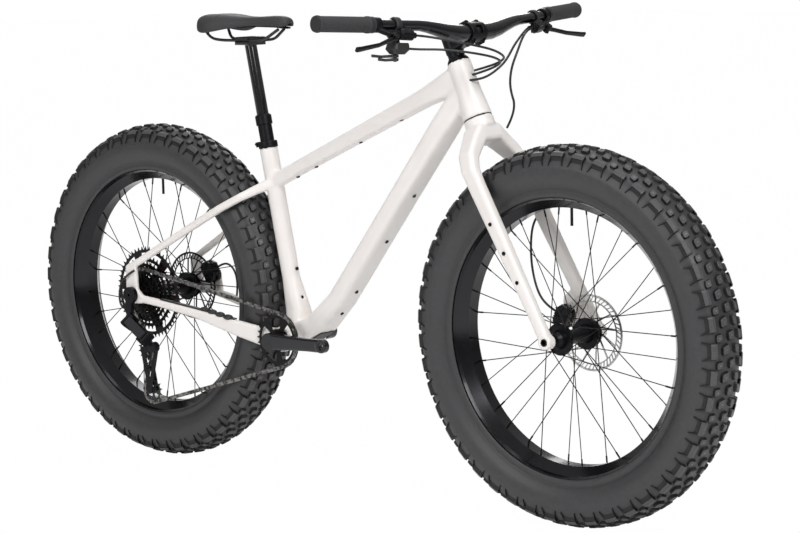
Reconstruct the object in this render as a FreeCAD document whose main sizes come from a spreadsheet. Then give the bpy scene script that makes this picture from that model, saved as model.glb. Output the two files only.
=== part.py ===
import FreeCAD, Part
import math
import os
import re
import Sketcher

# A fat tyre bike with a carbon frame and fork, in millimetres.
# X points forward, Y to the rider's left, Z up. The origin is on the ground, midway between the axles.

V = FreeCAD.Vector
doc = FreeCAD.newDocument("fat_bike")
sheet = doc.addObject("Spreadsheet::Sheet", "Sizes")

SIZES = {
    # Wheels and tyres
    "wheelbase": 1212, "tyre_radius": 393, "tyre_width": 114, "tyre_wall": 4, "sidewall_radius": 338,
    "shoulder_radius": 372, "shoulder_half": 45, "lug_height": 6, "lug_count": 60, "lug_angle": 3.7,
    "centre_lug_half": 13, "side_lug_inner": 20, "bead_radius": 292, "rim_width": 80,
    "rim_flange_thickness": 2.6, "rim_flange_height": 6, "rim_depth": 27, "rim_floor_half": 15,
    "rim_side": 6,
    "valve_radius": 3, "valve_length": 38, "spoke_count": 32, "spoke_radius": 1.05,
    "spoke_lift": 2.9, "nipple_radius": 1.9, "nipple_length": 14, "spoke_hole_spread": 13,
    "spoke_hole_stagger": 5,
    # Hubs, axles and brakes
    "front_spacing": 150, "rear_spacing": 197, "front_axle_radius": 7.5, "rear_axle_radius": 6,
    "axle_wall": 2.5, "flange_radius": 33, "spoke_circle": 30, "flange_thickness": 3.4,
    "hub_shell_radius": 17,
    "hub_cap_radius": 12, "front_flange_half": 43, "rear_flange_left": 64, "rear_flange_right": 46,
    "rotor_radius": 80, "rotor_band": 15, "rotor_thickness": 1.8, "rotor_boss": 18,
    "front_rotor_y": 60, "rear_rotor_y": 83, "rotor_arms": 6, "rotor_arm_width": 5,
    "caliper_length": 50, "caliper_reach": 96, "caliper_inner": 57, "pad_gap": 0.4, "pad_thickness": 3.6,
    # Frame and fork layout
    "head_angle": 66.5, "fork_offset": 48.5, "fork_length": 497.5, "head_tube_length": 125.5,
    "head_radius_top": 24.5, "head_radius_bottom": 31, "steerer_radius": 14.3, "steerer_taper_radius": 19.9,
    "bearing_height": 7, "lower_bearing_radius": 26, "upper_bearing_radius": 21.2,
    "bb_setback": 436, "bb_drop": 71, "bb_width": 121, "bb_shell_radius": 28,
    "bb_bore_radius": 20.5, "seat_angle": 78.2, "seat_offset": 6, "seat_tube_top": 743,
    "seat_tube_radius": 19.5,
    "post_radius": 15.8, "dropout_thickness": 10, "fork_dropout_thickness": 22,
    # Tube sections, width across the bike and depth in its plane
    "top_tube_width": 42, "top_tube_depth": 33, "top_tube_height": 896, "down_tube_width": 62,
    "down_tube_depth": 43, "chainstay_width": 16, "seatstay_width": 14, "seatstay_depth": 17,
    "leg_width": 24, "leg_depth": 36, "tyre_clearance": 8,
    # Seat
    "post_insertion": 150, "dropper_exposed": 76, "dropper_travel": 150, "stanchion_radius": 13.4,
    "collar_radius": 18.5, "collar_height": 24, "saddle_length": 270, "saddle_width": 144,
    "saddle_height": 1044,
    "saddle_thickness": 26, "rail_radius": 3.5, "rail_spread": 22, "saddle_nose_x": -178,
    # Cockpit
    "stem_length": 61, "stem_height": 40, "stem_stack": 20, "bar_width": 826, "bar_rise": 33,
    "bar_backsweep": 52,
    "bar_radius": 11.1, "bar_clamp_radius": 17.5, "stem_wall": 4.6, "stem_width": 46,
    "grip_length": 130, "grip_radius": 16, "clamp_radius": 15.5, "lever_length": 116,
    "lever_droop": 38, "shifter_depth": 56,
    # Drive train
    "crank_length": 170, "crank_rise": 2.4, "spindle_radius": 15, "spindle_half": 90,
    "spindle_wall": 3, "crank_face": 103.5, "pedal_face": 112,
    "pedal_boss": 14, "pedal_bore": 7.14, "chain_line": 71.5, "ring_teeth": 30, "cog_pitch": 3.65,
    "cog_thickness": 1.6, "ring_thickness": 1.8, "chain_pitch": 12.7, "roller_radius": 3.85,
    "tooth_height": 3, "freehub_radius": 17, "guide_teeth": 12, "tension_teeth": 14, "plate_height": 8.6,
    "plate_thickness": 0.65, "inner_plate_gap": 1.15,
    # Derailleur
    "guide_drop": 134, "cage_span": 98, "cage_forward": 20, "cage_pivot_ahead": 48, "cage_pivot_rise": 12,
    "cage_half": 9, "cage_plate": 2, "link_length": 54, "link_spread": 17, "link_radius": 5,
    "link_height": 24,
    "ear_thickness": 3.6, "mount_radius": 19, "mount_thickness": 12,
    # Lines
    "hose_radius": 2.5,
    # Fits
    "run_gap": 0.05, "seat_gap": 0.3,
}
COGS = [10, 12, 14, 16, 18, 21, 24, 28, 32, 36, 42, 52]
CHAIN_COG = 28

for row, (name, number) in enumerate(SIZES.items(), start=1):
    sheet.set("A%d" % row, name)
    sheet.set("B%d" % row, str(number))
    sheet.setAlias("B%d" % row, name)
doc.recompute()

nodes = {}


def formula(text):
    # Names of sizes become references to the sheet.
    return re.sub(r"[a-z]\w*", lambda m: "Sizes." + m.group() if m.group() in SIZES else m.group(), text)


def value(text):
    return float(sheet.evalExpression(formula(text)))


def bind(item, prop, text):
    item.setExpression(prop, formula(text))


def keep(name, item):
    item.Label = name
    nodes[name] = item
    return item


def feature(name, shape):
    item = doc.addObject("Part::Feature", name)
    item.Shape = shape
    return keep(name, item)


def group(name, items):
    compound = doc.addObject("Part::Compound", name)
    compound.Links = items
    return keep(name, compound)


def solids(name, shapes):
    return feature(name, Part.makeCompound(shapes))


def unit(vector):
    return V(vector).normalize()


def turn_to(direction, base=V(0, 0, 0)):
    return FreeCAD.Placement(base, FreeCAD.Rotation(V(0, 0, 1), V(direction)))


def constrain(sketch, edge, spot, text_x, text_y):
    for kind, text in (("DistanceX", text_x), ("DistanceY", text_y)):
        index = sketch.addConstraint(Sketcher.Constraint(kind, -1, 1, edge, spot, value(text)))
        sketch.setExpression("Constraints[%d]" % index, formula(text))


def draw_outline(sketch, outline):
    # Each entry is the end of a straight edge, or of an arc when it also names a point that the arc passes.
    ends = [V(value(entry[0]), value(entry[1]), 0) for entry in outline]
    spots = []
    for i, entry in enumerate(outline):
        start, end = ends[i - 1], ends[i]
        if len(entry) == 4:
            via = V(value(entry[2]), value(entry[3]), 0)
            edge = sketch.addGeometry(Part.Arc(start, via, end), False)
        else:
            edge = sketch.addGeometry(Part.LineSegment(start, end), False)
        forward = (sketch.getPoint(edge, 1) - start).Length < (sketch.getPoint(edge, 1) - end).Length
        spots.append((edge, 1, 2) if forward else (edge, 2, 1))
    for i, entry in enumerate(outline):
        edge, first, last = spots[i]
        before, _, before_last = spots[i - 1]
        sketch.addConstraint(Sketcher.Constraint("Coincident", before, before_last, edge, first))
    for i, entry in enumerate(outline):
        edge, first, last = spots[i]
        constrain(sketch, edge, last, entry[0], entry[1])
        if len(entry) == 4:
            mark = sketch.addGeometry(Part.Point(V(value(entry[2]), value(entry[3]), 0)), True)
            constrain(sketch, mark, 1, entry[2], entry[3])
            sketch.addConstraint(Sketcher.Constraint("PointOnObject", mark, 1, edge))


def new_sketch(body, plane):
    sketch = body.newObject("Sketcher::SketchObject", body.Name + "_outline")
    origin = {item.Role: item for item in body.Origin.OriginFeatures}
    sketch.AttachmentSupport = [(origin[plane], "")]
    sketch.MapMode = "FlatFace"
    return sketch


def turned(name, outline, placement):
    # A revolved piece: the outline gives radius and height along the axis.
    body = doc.addObject("PartDesign::Body", name)
    sketch = new_sketch(body, "XZ_Plane")
    draw_outline(sketch, outline)
    revolution = body.newObject("PartDesign::Revolution", name + "_turn")
    revolution.Profile = sketch
    revolution.ReferenceAxis = (sketch, ["V_Axis"])
    revolution.Angle = 360
    body.Placement = placement
    doc.recompute()
    return body


def ring(name, inner, outer, low, high, placement):
    return turned(name, [(inner, low), (outer, low), (outer, high), (inner, high)], placement)


def rod(start, end, radius):
    return Part.makeCylinder(radius, (end - start).Length, start, end - start)


def prism(start, end, radius, sides):
    # A bar with a regular polygon as its section, for what repeats many times.
    frame = turn_to(end - start, start)
    corners = []
    for i in range(sides + 1):
        angle = 2 * math.pi * i / sides
        corners.append(frame.multVec(V(radius * math.cos(angle), radius * math.sin(angle), 0)))
    return Part.Face(Part.makePolygon(corners)).extrude(end - start)


def section(centre, along, side, width, depth, corner):
    # A rounded rectangle square to the tube: width along the side vector, depth across it.
    along = unit(along)
    side = unit(side - along * side.dot(along))
    up = along.cross(side)
    corner = min(corner, 0.499 * width, 0.499 * depth)
    half_w, half_d = width / 2 - corner, depth / 2 - corner
    edges = []
    for quarter in range(4):
        angle = quarter * math.pi / 2
        sign_w = 1 if quarter in (0, 3) else -1
        sign_d = 1 if quarter in (0, 1) else -1
        middle = centre + side * (sign_w * half_w) + up * (sign_d * half_d)
        arc = []
        for step in range(3):
            turn = angle + step * math.pi / 4
            arc.append(middle + side * (corner * math.cos(turn)) + up * (corner * math.sin(turn)))
        if edges:
            edges.append(Part.LineSegment(last, arc[0]).toShape())
        else:
            first = arc[0]
        edges.append(Part.Arc(*arc).toShape())
        last = arc[2]
    edges.append(Part.LineSegment(last, first).toShape())
    return Part.Wire(edges)


def loft(stations, side, corner):
    # A tube through stations of centre, direction, width and depth.
    wires = [section(c, along, side, width, depth, corner) for c, along, width, depth in stations]
    return Part.makeLoft(wires, True, True)


def join(shapes):
    result = shapes[0].fuse(shapes[1:])
    return result.removeSplitter()


def mirror(shape):
    return shape.mirror(V(0, 0, 0), V(0, 1, 0))


def spread(points):
    # Corner radii as large as the runs beside each corner allow.
    radii = []
    for a, b, c in zip(points, points[1:], points[2:]):
        turn = unit(b - a).getAngle(unit(c - b))
        radii.append(0.45 * min((b - a).Length, (c - b).Length) / math.tan(turn / 2))
    return radii


def hose(points, radius):
    # A held line: straight runs joined by tangent arcs.
    edges = []
    start = points[0]
    for a, b, c, bend in zip(points, points[1:], points[2:], spread(points)):
        into, out = unit(b - a), unit(c - b)
        turn = into.getAngle(out)
        tangent = bend * math.tan(turn / 2)
        first, last = b - into * tangent, b + out * tangent
        centre_way = unit(out - into)
        centre = b + centre_way * (bend / math.cos(turn / 2))
        middle = centre - centre_way * bend
        edges.append(Part.LineSegment(start, first).toShape())
        edges.append(Part.Arc(first, middle, last).toShape())
        start = last
    edges.append(Part.LineSegment(start, points[-1]).toShape())
    path = Part.Wire(edges)
    frame = turn_to(points[1] - points[0], points[0])
    corners = []
    for i in range(7):
        angle = math.pi * i / 3
        corners.append(frame.multVec(V(radius * math.cos(angle), radius * math.sin(angle), 0)))
    return path.makePipeShell([Part.makePolygon(corners)], True, False)


# Places that the pieces share
gap = value("seat_gap")
rear_axle = V(-value("wheelbase") / 2, 0, value("tyre_radius"))
front_axle = V(value("wheelbase") / 2, 0, value("tyre_radius"))
bracket = rear_axle + V(value("bb_setback"), 0, -value("bb_drop"))
head_turn = math.radians(value("head_angle"))
steer_up = V(-math.cos(head_turn), 0, math.sin(head_turn))
steer_ahead = V(math.sin(head_turn), 0, math.cos(head_turn))
crown = front_axle - steer_ahead * value("fork_offset") + steer_up * value("fork_length")
head_top = crown + steer_up * value("head_tube_length")
seat_turn = math.radians(value("seat_angle"))
seat_up = V(-math.cos(seat_turn), 0, math.sin(seat_turn))
seat_foot = bracket + V(value("seat_offset"), 0, 0)
left = V(0, 1, 0)


def on_seat_tube(height):
    return seat_foot + seat_up * ((height - seat_foot.z) / seat_up.z)


def on_steerer(up, ahead=0, y=0):
    return crown + steer_up * up + steer_ahead * ahead + V(0, y, 0)


seat_top = on_seat_tube(value("seat_tube_top"))


def make_tyre(name, axle):
    bead = "(rim_width / 2 - rim_flange_thickness - seat_gap)"
    lip = "bead_radius + rim_flange_height + 2 * seat_gap"
    foot = "bead_radius + seat_gap"
    inner = "shoulder_radius - tyre_wall"
    inner_half = "(shoulder_half - tyre_wall / 2)"
    carcass = turned(name + "_carcass", [
        (foot, "-" + bead),
        (lip, "-" + bead),
        ("shoulder_radius", "-shoulder_half", "sidewall_radius", "-tyre_width / 2"),
        ("shoulder_radius", "shoulder_half", "tyre_radius - lug_height", "0"),
        (lip, bead, "sidewall_radius", "tyre_width / 2"),
        (foot, bead),
        (foot, bead + " - tyre_wall"),
        (lip, bead + " - tyre_wall"),
        (inner, inner_half, "sidewall_radius", "tyre_width / 2 - tyre_wall"),
        (inner, "-" + inner_half, "tyre_radius - lug_height - tyre_wall", "0"),
        (lip, "-" + bead + " + tyre_wall", "sidewall_radius", "-tyre_width / 2 + tyre_wall"),
        (foot, "-" + bead + " + tyre_wall"),
    ], turn_to(left, axle))
    tread = doc.addObject("Part::Feature", name + "_tread")
    tread.Shape = Part.makeCompound(tread_lugs())
    tread.Placement = turn_to(left, axle)
    return group(name, [carcass, tread])


def tread_lugs():
    # Three staggered rows of lugs that sit on the crown of the carcass.
    top = value("tyre_radius")
    height = value("lug_height")
    half = value("shoulder_half")
    rise = top - height - value("shoulder_radius")
    crown_radius = (half ** 2 + rise ** 2) / (2 * rise)
    centre = top - height - crown_radius

    def on_crown(y, lift=gap):
        return V(centre + math.sqrt(crown_radius ** 2 - y ** 2) + lift, 0, y)

    def lug(y_low, y_high, top_low, top_high):
        # A block with flat sides: its floor clears the crown between the two edges that it spans.
        half_turn = math.radians(value("lug_angle") / 2)
        sag = abs(on_crown((y_low + y_high) / 2).x - (on_crown(y_low).x + on_crown(y_high).x) / 2)
        lift = sag + on_crown(0).x * (1 - math.cos(half_turn))
        profile = [on_crown(y_low) + V(lift, 0, 0), on_crown(y_high) + V(lift, 0, 0), top_high, top_low]
        ends = []
        for side in (-1, 1):
            turned_profile = [V(c.x, side * c.x * math.tan(half_turn), c.z) for c in profile]
            ends.append(Part.makePolygon(turned_profile + turned_profile[:1]))
        return Part.makeLoft(ends, True, True)

    mid = value("centre_lug_half")
    near = value("side_lug_inner")
    flat = V(top, 0, 0)
    middle = lug(-mid, mid, flat - V(0, 0, mid), flat + V(0, 0, mid))
    right = lug(near, half, on_crown(near, height * 0.9), on_crown(half, height * 0.7))
    other = lug(-half, -near, on_crown(-half, height * 0.7), on_crown(-near, height * 0.9))
    count = int(value("lug_count"))
    lugs = []
    for i in range(count):
        for shape, shift in ((middle, 0), (right, 0.5), (other, 0.5)):
            copy = shape.copy()
            copy.rotate(V(0, 0, 0), V(0, 0, 1), 90 + 360 / count * (i + shift))
            lugs.append(copy)
    return lugs


def make_rim(name, axle):
    half = "rim_width / 2"
    wall = half + " - rim_flange_thickness"
    lip = "bead_radius + rim_flange_height"
    floor = "bead_radius - rim_depth"
    hoop = turned(name + "_hoop", [
        (lip, "-(" + half + ")"),
        (lip, "-(" + wall + ")"),
        ("bead_radius", "-(" + wall + ")"),
        ("bead_radius - 3", "-rim_floor_half / 2"),
        ("bead_radius - 3", "rim_floor_half / 2"),
        ("bead_radius", wall),
        (lip, wall),
        (lip, half),
        ("bead_radius - rim_side", half),
        ("bead_radius - rim_side * 1.6", half + " - rim_side"),
        (floor, "rim_floor_half"),
        (floor, "-rim_floor_half"),
        ("bead_radius - rim_side * 1.6", "-(" + half + ") + rim_side"),
        ("bead_radius - rim_side", "-(" + half + ")"),
    ], turn_to(left, axle))
    valve = doc.addObject("Part::Cylinder", name + "_valve")
    bind(valve, "Radius", "valve_radius")
    bind(valve, "Height", "valve_length")
    top = axle + V(0, 0, value("bead_radius - rim_depth - seat_gap"))
    valve.Placement = turn_to(V(0, 0, -1), top)
    return group(name, [hoop, valve])


def make_spokes(name, axle, flange_right, flange_left):
    # Three cross lacing: on each flange, spokes leave in pairs, one from each side of the flange.
    per_side = int(value("spoke_count")) // 2
    step = 2 * math.pi / per_side
    cross = 3 * step
    start_radius = value("spoke_circle")
    floor = value("bead_radius - rim_depth - seat_gap")
    radius = value("spoke_radius")
    face = value("flange_thickness") / 2 + gap
    shapes = []
    for flange, sign in ((-flange_right, -1), (flange_left, 1)):
        for i in range(per_side):
            trailing = i % 2
            hub_turn = i * step + (step / 2 if sign > 0 else 0) + step / 4
            rim_turn = hub_turn + (-cross if trailing else cross)
            y_face = flange + sign * (-face if trailing else face)
            y_hub = y_face + sign * (-radius if trailing else value("spoke_lift"))
            y_rim = sign * (value("spoke_hole_spread") - (value("spoke_hole_stagger") if trailing else 0))
            hub = axle + V(start_radius * math.cos(hub_turn), y_hub, start_radius * math.sin(hub_turn))
            end = axle + V(floor * math.cos(rim_turn), y_rim, floor * math.sin(rim_turn))
            along = unit(end - hub)
            tip = end - along * gap
            neck = tip - along * value("nipple_length")
            spoke = prism(hub, neck, radius, 6)
            if not trailing:
                spoke = spoke.fuse(prism(V(hub.x, y_face, hub.z), hub + V(0, sign * radius, 0), radius, 6))
            shapes.append(spoke.removeSplitter())
            shapes.append(prism(neck, tip, value("nipple_radius"), 6))
    return solids(name, shapes)


def make_front_hub():
    bore = "front_axle_radius + run_gap"
    end = "(front_spacing / 2 - seat_gap)"
    flange = "(front_flange_half + flange_thickness / 2)"
    inside = "(front_flange_half - flange_thickness / 2)"
    seat = "(front_rotor_y - rotor_thickness / 2)"
    return keep("front_hub", turned("front_hub", [
        (bore, "-" + end),
        ("hub_cap_radius", "-" + end),
        ("hub_cap_radius", "-front_flange_half - 20"),
        ("hub_shell_radius", "-front_flange_half - 12"),
        ("hub_shell_radius + 3", "-" + flange),
        ("flange_radius", "-" + flange),
        ("flange_radius", "-" + inside),
        ("hub_shell_radius + 3", "-" + inside),
        ("hub_shell_radius + 3", inside, "hub_shell_radius - 2", "0"),
        ("flange_radius", inside),
        ("flange_radius", flange),
        ("hub_shell_radius + 8", flange),
        ("hub_shell_radius + 8", seat + " - seat_gap"),
        ("rotor_boss - seat_gap", seat + " - seat_gap"),
        ("rotor_boss - seat_gap", "front_rotor_y + rotor_thickness / 2 + 3"),
        ("hub_cap_radius", "front_rotor_y + rotor_thickness / 2 + 3"),
        ("hub_cap_radius", end),
        (bore, end),
    ], turn_to(left, front_axle)))


def make_rear_hub():
    bore = "rear_axle_radius + run_gap"
    right = "(rear_flange_right + flange_thickness / 2)"
    right_in = "(rear_flange_right - flange_thickness / 2)"
    left_in = "(rear_flange_left - flange_thickness / 2)"
    left_out = "(rear_flange_left + flange_thickness / 2)"
    end = "(rear_spacing / 2 - seat_gap)"
    seat = "(rear_rotor_y - rotor_thickness / 2)"
    return keep("rear_hub", turned("rear_hub", [
        (bore, "-rear_flange_right - 5"),
        ("hub_shell_radius", "-rear_flange_right - 5"),
        ("hub_shell_radius + 5", "-" + right),
        ("flange_radius", "-" + right),
        ("flange_radius", "-" + right_in),
        ("hub_shell_radius + 5", "-" + right_in),
        ("hub_shell_radius + 3", left_in, "hub_shell_radius - 1", "rear_flange_left / 4"),
        ("flange_radius", left_in),
        ("flange_radius", left_out),
        ("hub_shell_radius + 8", left_out),
        ("hub_shell_radius + 8", seat + " - seat_gap"),
        ("rotor_boss - seat_gap", seat + " - seat_gap"),
        ("rotor_boss - seat_gap", "rear_rotor_y + rotor_thickness / 2 + 3"),
        ("hub_cap_radius", "rear_rotor_y + rotor_thickness / 2 + 3"),
        ("hub_cap_radius", end),
        (bore, end),
    ], turn_to(left, rear_axle)))


def make_rotor(name, axle, y):
    # A brake disc: the band that the pads grip, and slanted arms to the carrier.
    thickness = value("rotor_thickness")
    outer = value("rotor_radius")
    band = value("rotor_band")
    boss = value("rotor_boss")
    up = V(0, 0, 1)
    low = V(0, 0, -thickness / 2)
    disc = Part.makeCylinder(outer, thickness, low).cut(Part.makeCylinder(outer - band, thickness, low))
    carrier = Part.makeCylinder(boss + 7, thickness, low)
    shapes = [disc, carrier]
    arms = int(value("rotor_arms"))
    width = value("rotor_arm_width")
    for i in range(arms):
        arm = Part.makeBox(outer - boss - band / 2, width, thickness, V(boss - 4, boss * 0.6, -thickness / 2))
        arm.rotate(V(0, 0, 0), up, 360 / arms * i)
        shapes.append(arm)
    body = join(shapes).cut(Part.makeCylinder(boss, 3 * thickness, 3 * low))
    body.Placement = turn_to(left, axle + V(0, y, 0))
    return feature(name, body)


def make_brake(name, axle, y, angle):
    # A caliper over the disc's edge, and the pair of pads that it holds.
    turn = math.radians(angle)
    out = V(math.cos(turn), 0, math.sin(turn))
    frame = FreeCAD.Placement(axle + V(0, y, 0), FreeCAD.Rotation(out, left, out.cross(left), "XYZ"))
    low, reach = value("caliper_inner"), value("caliper_reach")
    half = value("caliper_length") / 2
    face = value("rotor_thickness") / 2 + value("pad_gap")
    back = face + value("pad_thickness")
    pocket = back + 3 * gap
    body = Part.makeBox(reach - low, 12 + 16, 2 * half, V(low, -12, -half))
    ridges = [e for e in body.Edges if abs(e.CenterOfMass.x - reach) < 1]
    body = body.makeFillet(7, ridges)
    slot_end = value("rotor_radius") + 4
    slot = Part.makeBox(slot_end - low + 2, 2 * face + 2, 2 * half + 2, V(low - 2, -face - 1, -half - 1))
    room = Part.makeBox(slot_end - low + 2, 2 * pocket, half * 1.2, V(low - 2, -pocket, -half * 0.6))
    body = body.cut(slot).cut(room)
    pistons = []
    for sign in (-1, 1):
        start = V((low + slot_end) / 2, sign * pocket, 0)
        pistons.append(rod(start, start - V(0, sign * (pocket - back - gap), 0), half * 0.3))
    body = join([body] + pistons)
    body.Placement = frame
    feature(name + "_caliper", body)
    for side, sign in (("inner", -1), ("outer", 1)):
        y_low = face if sign > 0 else -back
        pad = Part.makeBox(slot_end - low - 8, value("pad_thickness"), half * 1.1,
                           V(low + 3, y_low, -half * 0.55))
        pad.Placement = frame
        feature("%s_pad_%s" % (name, side), pad)


def make_frame():
    bore = value("steerer_taper_radius") + 1
    length = value("head_tube_length")
    seat = value("bearing_height") + 1
    head = turned("head_tube_skin", [
        ("steerer_taper_radius + 1", "0"),
        ("head_radius_bottom", "0"),
        ("head_radius_top + 2", "head_tube_length * 0.45"),
        ("head_radius_top", "head_tube_length"),
        ("steerer_taper_radius + 1", "head_tube_length"),
    ], turn_to(steer_up, crown)).Shape
    doc.removeObject("head_tube_skin")
    half_shell = value("bb_width") / 2
    shell = Part.makeCylinder(value("bb_shell_radius"), 2 * half_shell, bracket - left * half_shell, left)
    parts = [top_tube(), down_tube(), seat_tube(), shell]
    for part in rear_half():
        parts.append(part)
        parts.append(mirror(part))
    parts.append(brake_tab())
    solid = head
    for part in parts:
        solid = solid.fuse(part)
    cuts = [
        rod(crown - steer_up, crown + steer_up * (length + 1), bore),
        rod(crown - steer_up, crown + steer_up * seat, value("lower_bearing_radius")),
        rod(head_top - steer_up * seat, head_top + steer_up, value("upper_bearing_radius")),
        rod(bracket - left * (half_shell + 1), bracket + left * (half_shell + 1), value("bb_bore_radius")),
        rod(seat_top - seat_up * value("post_insertion + 20"), seat_top + seat_up * 60,
            value("post_radius + run_gap")),
        rod(rear_axle - left * 150, rear_axle + left * 150, value("rear_axle_radius + run_gap")),
    ]
    for place, out in boss_places():
        cuts.append(rod(place - out * 12, place, 2.6))
        cuts.append(rod(place - out * 0.6, place + out * 12, 4.6))
    for path in (rear_brake_path(), shift_path(), dropper_path()):
        cuts.append(line_port(path[::-1]))
    for cut in cuts:
        solid = solid.cut(cut)
    return feature("frame", solid.removeSplitter())


def top_tube():
    depth, width = value("top_tube_depth"), value("top_tube_width")
    head_end = V(head_top.x - 28, 0, value("top_tube_height"))
    seat_end = on_seat_tube(value("seat_tube_top") - 76)
    along = unit(head_end - seat_end)
    run = (head_end - seat_end).Length
    stations = [
        (seat_end, along, width * 0.8, depth),
        (seat_end + along * run * 0.16, along, width * 0.8, depth * 0.95),
        (seat_end + along * run * 0.55, along, width * 0.9, depth),
        (seat_end + along * run * 0.88, along, width, depth * 1.12),
        (head_end + along * 26, along, width, depth * 1.7),
    ]
    return loft(stations, left, depth * 0.36)


def down_tube():
    depth, width = value("down_tube_depth"), value("down_tube_width")
    top = crown + steer_up * (length_share("head_tube_length", 0.42)) - steer_ahead * 22
    low = bracket + V(136, 0, 96)
    along = unit(low - top)
    run = (low - top).Length
    stations = [
        (top - along * 20, along, width * 0.72, depth * 1.2),
        (top + along * run * 0.14, along, width * 0.95, depth * 1.12),
        (top + along * run * 0.45, along, width, depth),
        (low, along, width * 1.04, depth),
        (bracket + V(72, 0, 36), unit(V(-0.8, 0, -0.62)), width * 1.2, depth * 1.08),
        (bracket + V(4, 0, 1), V(-1, 0, -0.1), width * 1.62, depth * 1.16),
    ]
    return loft(stations, left, depth * 0.33)


def length_share(name, share):
    return value(name) * share


def seat_tube():
    radius = value("seat_tube_radius")
    low = bracket + V(2, 0, 10)
    stations = [
        (low, seat_up, radius * 4.2, radius * 2.5),
        (on_seat_tube(bracket.z + 58) + V(5, 0, 0), seat_up, radius * 2.7, radius * 2.45),
        (on_seat_tube(bracket.z + 130), seat_up, radius * 2, radius * 2),
        (on_seat_tube(bracket.z + 300), seat_up, radius * 2, radius * 2),
        (seat_top, seat_up, radius * 2, radius * 2),
    ]
    return loft(stations, left, radius * 0.96)


def rear_half():
    # The right chainstay, seatstay and dropout.
    width = value("chainstay_width")
    inner = value("rear_spacing") / 2
    plate_mid = -inner - value("dropout_thickness") / 2
    beside = -value("tyre_width") / 2 - value("tyre_clearance") - width / 2
    chain_side = -value("chain_line") + value("ring_thickness") / 2 + 2.6 + 6.5
    x = rear_axle.x
    z = rear_axle.z
    stay = loft([
        (V(bracket.x - 8, -44, bracket.z - 2), V(-1, -0.1, 0), 24, 46),
        (V(bracket.x - 62, chain_side, bracket.z + 3), V(-1, -0.2, 0.15), 13, 42),
        (V(bracket.x - 130, beside, bracket.z + 17), V(-1, -0.12, 0.2), width * 0.95, 35),
        (V(bracket.x - 245, beside - 10, bracket.z + 40), V(-1, -0.12, 0.16), width, 21),
        (V(x + 86, plate_mid + 7.5, z - 15), V(-1, -0.1, 0.13), width, 17),
        (V(x + 27, plate_mid, z - 8), V(-1, 0, 0.1), value("dropout_thickness"), 18),
    ], left, 6)
    post = value("seatstay_width")
    deep = value("seatstay_depth")
    top = on_seat_tube(value("seat_tube_top") - 78)
    seatstay = loft([
        (top + V(8, -9, 2), V(-0.8, -0.3, -0.5), post, deep * 1.5),
        (top + V(-22, -33, -13), V(-0.75, -0.62, -0.4), post, deep * 1.2),
        (top + V(-56, beside + 15, -32), V(-0.8, -0.38, -0.42), post, deep),
        (top + V(-110, beside + 1, -60), V(-0.86, -0.13, -0.5), post, deep),
        (V(x + 90, plate_mid + 10, z + 118), V(-0.86, -0.11, -0.5), post * 0.95, deep * 0.95),
        (V(x - 4, plate_mid, z + 66), V(-0.86, -0.1, -0.5), value("dropout_thickness"), deep),
    ], left, 5)
    hook = Part.Face(Part.makePolygon([
        V(x - 22, 0, z + 66), V(x - 8, 0, z + 74), V(x + 10, 0, z + 72), V(x + 14, 0, z + 50),
        V(x + 15, 0, z + 14), V(x + 30, 0, z + 2), V(x + 30, 0, z - 18), V(x, 0, z - 21),
        V(x - 14, 0, z - 15), V(x - 20, 0, z - 2), V(x - 22, 0, z + 30), V(x - 22, 0, z + 66)]))
    dropout = hook.extrude(V(0, value("dropout_thickness"), 0))
    dropout.translate(V(0, -inner - value("dropout_thickness"), 0))
    return [stay, seatstay, dropout]


def brake_tab():
    # The lug on the left stay that carries the rear caliper.
    x, z = rear_axle.x, rear_axle.z
    y = value("rear_rotor_y") + 16 + gap
    tab = Part.Face(Part.makePolygon([
        V(x + 16, y, z - 14), V(x + 86, y, z - 16), V(x + 78, y, z + 40), V(x + 50, y, z + 52),
        V(x + 30, y, z + 20), V(x + 16, y, z - 14)]))
    return tab.extrude(V(0, 7, 0))


def boss_places():
    # Threaded bosses: under the top tube, in front of the seat tube and below the down tube.
    places = []
    head_end = V(head_top.x - 28, 0, value("top_tube_height"))
    seat_end = on_seat_tube(value("seat_tube_top") - 76)
    along = unit(head_end - seat_end)
    under = V(along.z, 0, -along.x)
    run = (head_end - seat_end).Length
    for share in (0.13, 0.24, 0.5, 0.73):
        centre = seat_end + along * run * share
        places.append((centre + under * value("top_tube_depth") * 0.49, under))
    ahead = V(seat_up.z, 0, -seat_up.x)
    for height in (84, 148):
        places.append((on_seat_tube(bracket.z + height) + ahead * value("seat_tube_radius") * 1.12, ahead))
    top = crown + steer_up * (length_share("head_tube_length", 0.42)) - steer_ahead * 22
    low = bracket + V(136, 0, 96)
    slope = unit(low - top)
    below = V(-slope.z, 0, slope.x)
    for share in (0.44, 0.67, 0.93):
        centre = top + (low - top) * share
        places.append((centre + below * value("down_tube_depth") * 0.5, below))
    bend = unit(V(64, 0, 60))
    below = V(bend.z, 0, -bend.x)
    places.append((low - bend * 26 + below * value("down_tube_depth") * 0.51, below))
    return places


def make_bolts(name, places):
    # Button head bolts in their bosses, each with a hexagon socket.
    shapes = []
    for place, out in places:
        head = prism(place - out * 0.5, place + out * 2.2, 4.2, 8)
        socket = prism(place + out * 0.8, place + out * 2.4, 1.9, 6)
        shank = prism(place - out * 11, place - out * 0.5, 2.5, 6)
        shapes.append(head.cut(socket).fuse(shank).removeSplitter())
    return solids(name, shapes)


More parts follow.
